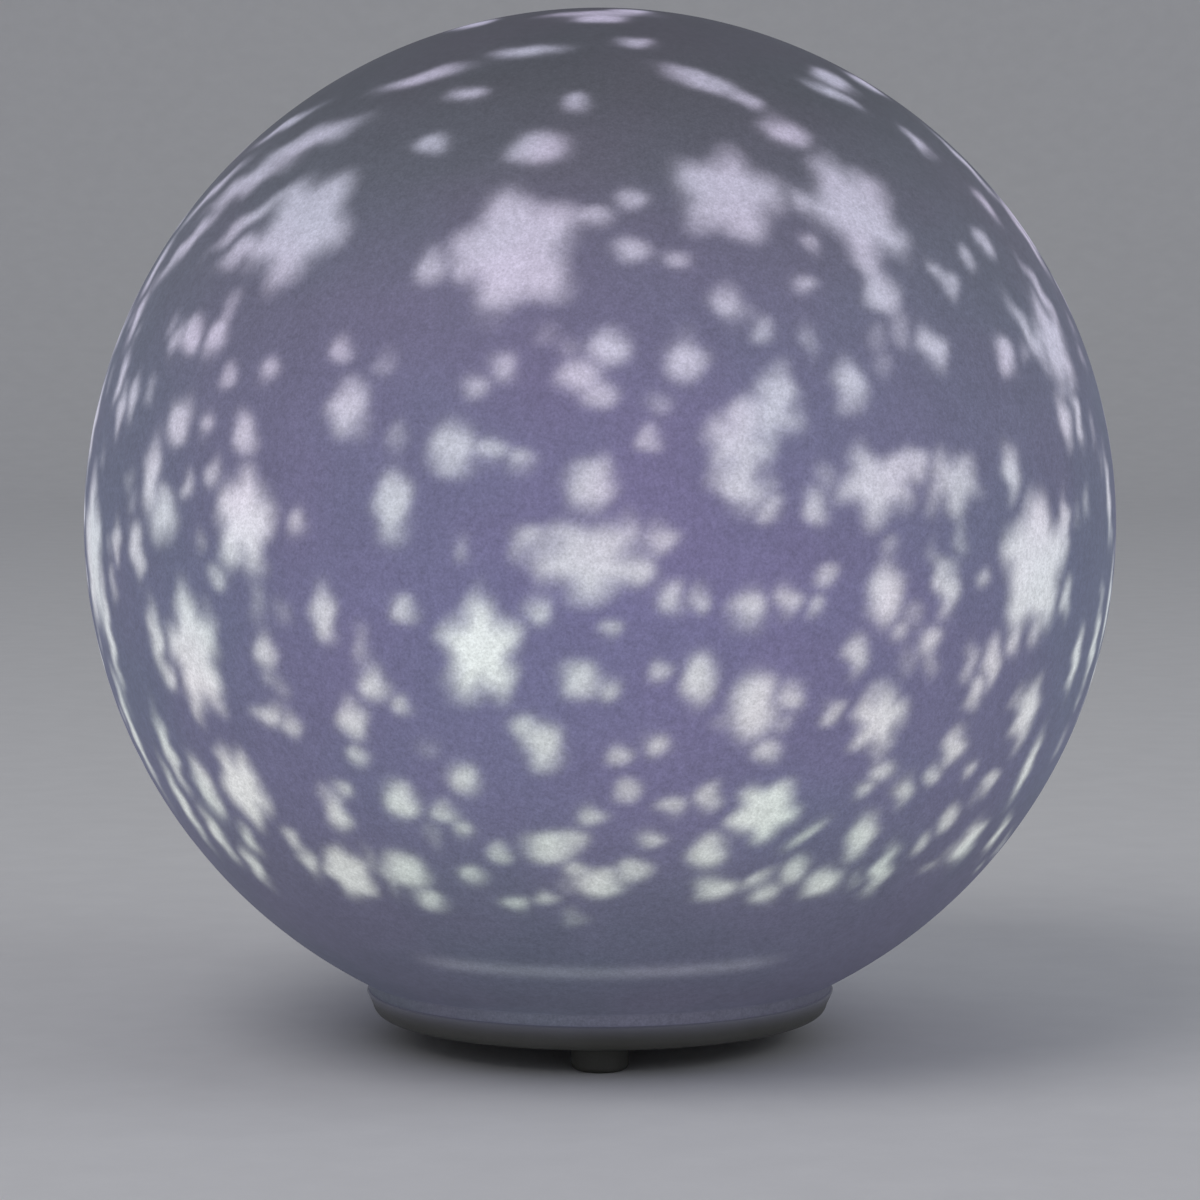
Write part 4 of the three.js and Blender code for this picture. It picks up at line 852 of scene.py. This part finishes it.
def make_mask():
    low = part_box("star_mask")[0].z
    inner = MASK_RADIUS - MASK_WALL
    foot = math.sqrt(inner**2 - (LAMP_Z - low) ** 2)
    rim_angle = -math.degrees(math.asin((LAMP_Z - MASK_RIM_Z) / MASK_RADIUS))
    foot_angle = -math.degrees(math.asin((LAMP_Z - low) / inner))
    dome = lathe("mask_dome", [
        (foot, low),
        (MASK_RADIUS, low),
        (MASK_RADIUS, MASK_RIM_Z),
        *arc(0, LAMP_Z, MASK_RADIUS, rim_angle, 90, MASK_ROWS),
        *arc(0, LAMP_Z, inner, 90, foot_angle, MASK_ROWS),
    ], even_turns(128))

    vertices, faces, kept = [], [], []
    for turn in (0, 180):
        for mark in [star[:5] for star in STARS] + SPOTS:
            corners = punch(mark, turn)
            aim = sum(corners, Vector()).normalized()
            reach = max(aim.angle(corner) for corner in corners)
            clear = all(aim.angle(other) > reach + used + math.radians(HOLE_MARGIN) for other, used in kept)
            lowest = min(corner.z for corner in corners) * inner + LAMP_Z
            if not clear or lowest < MASK_RIM_Z + MM or reach < math.radians(SMALLEST_HOLE):
                continue
            kept.append((aim, reach))
            start, count = len(vertices), len(corners)
            for radius in (inner - 3 * MM, MASK_RADIUS + 2 * MM):
                vertices += [tuple(corner * radius + Vector((0, 0, LAMP_Z))) for corner in corners]
            near, far = range(start, start + count), range(start + count, start + 2 * count)
            faces += [tuple(near), tuple(reversed(far))]
            for i in range(count):
                j = (i + 1) % count
                faces.append((near[j], near[i], far[i], far[j]))
    holes = mesh_object("holes", vertices, faces)
    level = bmesh.new()
    level.from_mesh(holes.data)
    bmesh.ops.recalc_face_normals(level, faces=level.faces)
    level.to_mesh(holes.data)
    level.free()
    return soften(carve(dome, [holes]), 0.05 * MM, angle=40, segments=1)


TURNTABLE_FLOOR = 1.8 * MM
TURNTABLE_RIM = 0.9 * MM
TURNTABLE_BORE = 7.3 * MM
PEG_CIRCLE = 13 * MM
PEG_RADIUS = 1.5 * MM
PEG_ANGLES = (30, 150, 270)


def make_mask_tray():
    low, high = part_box("mask_tray")
    floor_top = low.z + TURNTABLE_FLOOR
    outer, rim, bore = high.x, TURNTABLE_RIM, TURNTABLE_BORE
    tray = lathe("mask_turntable", [
        (bore, low.z),
        (outer, low.z),
        *arc(outer - rim / 2, high.z - rim / 2, rim / 2, 0, 180, 8),
        (outer - rim, floor_top),
        (bore, floor_top),
    ], even_turns(128))
    holes = []
    for angle in PEG_ANGLES:
        at = PEG_CIRCLE * math.cos(math.radians(angle)), PEG_CIRCLE * math.sin(math.radians(angle))
        holes.append(drum("peg", PEG_RADIUS, low.z - MM, floor_top + MM, at, 32))
    return soften(carve(tray, holes), 0.12 * MM, angle=50)


# ---------------------------------------------------------------- cells and springs

BUTTON_RADIUS = 2.75 * MM
BUTTON_LENGTH = 1.3 * MM
BUTTON_EDGE = 0.3 * MM
SLEEVE_LIP = 1.1 * MM  # the sleeve shrinks over the ends by this much
SLEEVE_EDGE = 0.6 * MM
CELL_END = 0.25 * MM  # the flat end sits this far inside the sleeve
SPRING_TURNS = 3.5
SPRING_WIRE = 0.35 * MM
SPRING_WIDE = 4.4 * MM
SPRING_NARROW = 2.5 * MM
SPRING_STEPS = 140
SPRING_FLAT = 0.1  # share of the wire that lies flat at each end


def cell_turn(node):
    """+1 where the cell's button points to the rear, -1 where it points to the front."""
    return -1 if node.endswith("middle") else 1


def make_cell(node):
    low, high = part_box(node)
    radius = (high.x - low.x) / 2
    length = high.y - low.y
    shoulder = length - BUTTON_LENGTH
    lip = radius - SLEEVE_LIP
    side = radius - SLEEVE_EDGE
    cell = lathe(node + "_body", [
        (0, CELL_END),
        (lip - 0.6 * MM, CELL_END),
        (lip, 0),
        *arc(side, SLEEVE_EDGE, SLEEVE_EDGE, -90, 0, 5),
        *arc(side, shoulder - SLEEVE_EDGE, SLEEVE_EDGE, 0, 90, 5),
        (lip, shoulder),
        (lip - 0.3 * MM, shoulder - 0.3 * MM),
        (BUTTON_RADIUS + 0.5 * MM, shoulder - 0.2 * MM),
        (BUTTON_RADIUS, shoulder + 0.1 * MM),
        *arc(BUTTON_RADIUS - BUTTON_EDGE, length - BUTTON_EDGE, BUTTON_EDGE, 0, 90, 3),
        (0, length),
    ], even_turns(64))
    for face in cell.data.polygons:
        reach = math.hypot(face.center.x, face.center.y)
        face.material_index = 1 if reach < lip - 0.1 * MM else 0
    along = cell_turn(node)
    start = low.y if along > 0 else high.y
    stand = Matrix.Rotation(math.radians(-90 * along), 4, "X")
    middle = (low + high) / 2
    cell.data.transform(Matrix.Translation((middle.x, start, middle.z)) @ stand)
    return cell


def make_spring(node):
    low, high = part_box(node)
    side = cell_turn(node)
    wide, narrow = (low.y, high.y) if side > 0 else (high.y, low.y)
    start, end = wide + side * SPRING_WIRE, narrow - side * SPRING_WIRE
    middle = middle_of(node.replace("spring", "cell"))
    points = []
    for i in range(SPRING_STEPS + 1):
        part = i / SPRING_STEPS
        radius = SPRING_WIDE + (SPRING_NARROW - SPRING_WIDE) * part
        angle = 2 * math.pi * SPRING_TURNS * part
        rise = min(max((part - SPRING_FLAT) / (1 - 2 * SPRING_FLAT), 0), 1)
        x, z = middle.x + radius * math.cos(angle) * side, middle.z + radius * math.sin(angle)
        points.append((x, start + (end - start) * rise, z))
    return wire(node + "_wire", points, SPRING_WIRE)


# ---------------------------------------------------------------- stage and lights

FLOOR_FLAT = 1.9
WALL_RADIUS = 2.9
WALL_HEIGHT = 2.2
STAGE_COLUMNS = 96
ROOM_COLOUR = (0.92, 0.95, 1.0, 1)
ROOM_STRENGTH = 0.26
LIGHTS_AIM = Vector((0, 0, 0.08))


def make_stage():
    """A round pale floor that curves up into a wall all round."""
    corner = WALL_RADIUS - FLOOR_FLAT
    section = [(0, 0), *arc(FLOOR_FLAT, corner, corner, -90, 0, 24), (WALL_RADIUS, WALL_HEIGHT)]
    count = STAGE_COLUMNS
    turns = even_turns(count)
    vertices = [(0, 0, 0)]
    for radius, height in section[1:]:
        vertices += [(radius * math.cos(a), radius * math.sin(a), height) for a in turns]
    faces = [(0, 1 + j, 1 + (j + 1) % count) for j in range(count)]
    for i in range(len(section) - 2):
        inner, outer = 1 + i * count, 1 + (i + 1) * count
        for j in range(count):
            k = (j + 1) % count
            faces.append((inner + j, outer + j, outer + k, inner + k))
    floor = mesh_object("floor", vertices, faces)
    nodes = moulded("pale_paper", (0.8, 0.8, 0.82), (0.77, 0.77, 0.79), roughness=0.85, grain=2 * MM)
    finish_piece(floor, nodes)


def area_light(name, place, size, power, colour):
    data = bpy.data.lights.new(name, "AREA")
    data.shape = "DISK"
    data.size = size
    data.energy = power
    data.color = colour
    light = bpy.data.objects.new(name, data)
    SCENE.collection.objects.link(light)
    light.location = place
    aim = LIGHTS_AIM - Vector(place)
    light.rotation_euler = aim.to_track_quat("-Z", "Y").to_euler()


def make_lights():
    world = bpy.data.worlds.new("room")
    SCENE.world = world
    world.use_nodes = True
    background = world.node_tree.nodes["Background"]
    background.inputs["Color"].default_value = ROOM_COLOUR
    background.inputs["Strength"].default_value = ROOM_STRENGTH
    area_light("key", (-0.9, -1.1, 1.9), 1.4, 13, (1.0, 0.98, 0.96))
    area_light("fill", (1.5, -0.6, 1.4), 1.6, 6, (0.94, 0.97, 1.0))


# ---------------------------------------------------------------- finishes of the other pieces

SHADED_BASE_COLOURS = ((0.125, 0.125, 0.115), (0.1, 0.1, 0.085))  # white plastic painted dark as painted shade, as dark as the photo's unlit base
LAMP_GLOW = (0.86, 0.88, 1.0, 1)
SLEEVE_BAND = 18 * MM  # from a cell's middle to the pale bands at its ends


def glowing_base():
    """White plastic that carries some of the lamp's light down from its top edge."""
    # Its colours are painted shade: white plastic coloured dark grey.
    nodes = moulded("lit_white_plastic", *SHADED_BASE_COLOURS, roughness=0.42)
    height = nodes.remap(nodes.axis("Z"), TRAY_BOTTOM_Z + 1.2 * MM, TRAY_TOP_Z, 0, 1)
    fade = nodes.maths("POWER", height, 2.2)
    nodes.join(nodes.maths("MULTIPLY", fade, 0.06), nodes.shader.inputs["Emission Strength"])
    nodes.set(Emission_Color=(0.62, 0.64, 1.0, 1))
    return nodes


def sleeve():
    """The cells' shrunk plastic sleeve, dark green with a plain pale band at each end."""
    nodes = Nodes("cell_sleeve")
    far = nodes.maths("ABSOLUTE", nodes.axis("Y"), 0)
    band = nodes.remap(far, SLEEVE_BAND - 0.1 * MM, SLEEVE_BAND + 0.1 * MM, 0, 1)
    fine = nodes.noise(0.6 * MM, detail=3)
    body = nodes.shades(fine, 0.3, 0.7, (0.03, 0.13, 0.08), (0.025, 0.1, 0.065))
    nodes.paint(nodes.blend(band, body, (0.5, 0.5, 0.45)))
    nodes.rough(fine, 0.2, 0.8, 0.22, 0.34)
    nodes.bump(nodes.noise(4 * MM, detail=1), 0.05 * MM, 0.5)
    return nodes


def solder_mask():
    """Green board lacquer over copper tracks."""
    nodes = Nodes("board_lacquer")
    tracks = nodes.add("ShaderNodeTexBrick")
    tracks.inputs["Scale"].default_value = 260
    tracks.inputs["Mortar Size"].default_value = 0.012
    nodes.join(nodes.place, tracks.inputs["Vector"])
    fine = nodes.noise(0.4 * MM)
    dark = nodes.shades(fine, 0.3, 0.7, (0.008, 0.09, 0.035), (0.006, 0.07, 0.03))
    nodes.paint(nodes.blend(tracks.outputs["Fac"], dark, (0.03, 0.2, 0.06)))
    nodes.rough(fine, 0.2, 0.8, 0.22, 0.36)
    nodes.bump(tracks.outputs["Fac"], 0.03 * MM)
    return nodes


def lamp_face():
    """The lamp's package: white with its yellow phosphor, switched on."""
    nodes = moulded("led_package", (0.8, 0.8, 0.74), (0.78, 0.74, 0.55), roughness=0.35)
    nodes.set(Emission_Color=LAMP_GLOW, Emission_Strength=6.0)
    return nodes


def lamp_lens():
    nodes = moulded("led_lens", (0.9, 0.9, 0.86), (0.86, 0.86, 0.8), roughness=0.12)
    nodes.set(Emission_Color=LAMP_GLOW, Emission_Strength=9.0, Transmission_Weight=0.6, IOR=1.42)
    return nodes


def shiny(nodes, coat):
    nodes.set(Coat_Weight=coat, Coat_Roughness=0.2)
    return nodes


FINISHES = {
    "white_shell": moulded("white_plastic", (0.46, 0.46, 0.46), (0.41, 0.41, 0.4), roughness=0.4),
    # painted shade: the feet's white rubber is coloured near black, as dark as the shade under the base
    "white_feet": moulded(
        "white_rubber", (0.085, 0.085, 0.075), (0.065, 0.065, 0.055), roughness=0.75, bump=0.02 * MM
    ),
    "screws": metal("zinc_steel", (0.5, 0.5, 0.48), (0.42, 0.41, 0.36), roughness=0.34),
    "springs": metal("nickel_wire", (0.58, 0.57, 0.54), (0.48, 0.47, 0.44), roughness=0.26),
    "contacts": metal("nickel_plate", (0.6, 0.59, 0.56), (0.5, 0.49, 0.46), 0.3, brushed=(0.15, 1, 1)),
    "shafts": metal("ground_steel", (0.5, 0.5, 0.51), (0.42, 0.42, 0.43), 0.22, brushed=(1, 1, 0.2)),
    "motor_steel": metal("motor_steel", (0.52, 0.52, 0.52), (0.44, 0.44, 0.43), 0.34, brushed=(1, 1, 0.15)),
    "black_plastic": moulded(
        "black_plastic", (0.016, 0.016, 0.018), (0.024, 0.024, 0.026), 0.5, 0.5 * MM, 0.03 * MM
    ),
    "mask_plastic": moulded(
        "mask_plastic", (0.02, 0.02, 0.022), (0.03, 0.03, 0.032), 0.6, 0.5 * MM, 0.02 * MM
    ),
    "grey_plastic": moulded("grey_plastic", (0.2, 0.2, 0.22), (0.17, 0.17, 0.18), 0.45),
    "blue_plastic": moulded("blue_plastic", (0.03, 0.11, 0.36), (0.025, 0.09, 0.3), 0.4),
    "nylon": moulded("nylon", (0.62, 0.59, 0.5), (0.56, 0.52, 0.42), 0.42, 0.6 * MM),
    "brass": metal("brass", (0.62, 0.42, 0.16), (0.5, 0.33, 0.12), 0.28, brushed=(1, 1, 0.2)),
    "aluminium": metal("aluminium", (0.62, 0.63, 0.65), (0.55, 0.56, 0.58), 0.32, brushed=(1, 1, 0.2)),
    "cells": shiny(sleeve(), 0.5),
    "led_white": lamp_face(),
    "led_lens": lamp_lens(),
    "circuit_board": shiny(solder_mask(), 0.3),
    "red_wire": shiny(moulded("red_wire", (0.34, 0.012, 0.01), (0.26, 0.01, 0.01), 0.4), 0.2),
    "black_wire": shiny(moulded("black_wire", (0.012, 0.012, 0.013), (0.02, 0.02, 0.021), 0.4), 0.2),
}
# Millimetres of rounding on the edges of carried-over pieces, by slot.
EDGES = {"nylon": 0.06, "brass": 0.05, "contacts": 0.08, "led_lens": 0, "red_wire": 0, "black_wire": 0}
PLAIN_EDGE = 0.15

# ---------------------------------------------------------------- assembly

slot_of = {row["node"]: row["material_slot"] for row in frame["record"]["subparts"]}


def place(piece, node, body, finish=None):
    """Puts a smooth piece in the place of a CAD node."""
    slot = slot_of[node]
    finish_piece(piece, finish or FINISHES[slot])
    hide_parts(node)
    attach(piece, body)


make_camera()
make_stage()
make_lights()

place(make_globe(), "globe", "globe", frosted_finish())
# The battery door takes the base's dark colours, which are painted shade.
shaded_door_finish = moulded("door_plastic", *SHADED_BASE_COLOURS, roughness=0.42)
place(make_base(), "base_tray", "base", glowing_base())
for name in FEET:
    place(make_foot(name), name, "base")
for name in HOUSING_SCREWS + MOTOR_SCREWS:
    place(make_screw(name), name, "base")
place(make_housing(), "tower_housing", "base")
place(make_mask(), "star_mask", "mask")
place(make_mask_tray(), "mask_tray", "mask")
for side in ("left", "middle", "right"):
    cell = make_cell("cell_" + side)
    place(cell, "cell_" + side, "base")
    cell.data.materials.append(FINISHES["contacts"].material)
    place(make_spring("spring_" + side), "spring_" + side, "base")

replaced = {"globe", "base_tray", "tower_housing", "star_mask", "mask_tray"}
replaced.update(FEET, HOUSING_SCREWS, MOTOR_SCREWS)
for name, node in frame["nodes"].items():
    if name in replaced or name.startswith(("cell_", "spring_")):
        continue
    slot = slot_of[name]
    finish_piece(node, shaded_door_finish if name == "battery_door" else FINISHES[slot])
    edge = EDGES.get(slot, PLAIN_EDGE)
    if edge:
        soften(node, edge * MM)
    else:
        smooth(node.data)
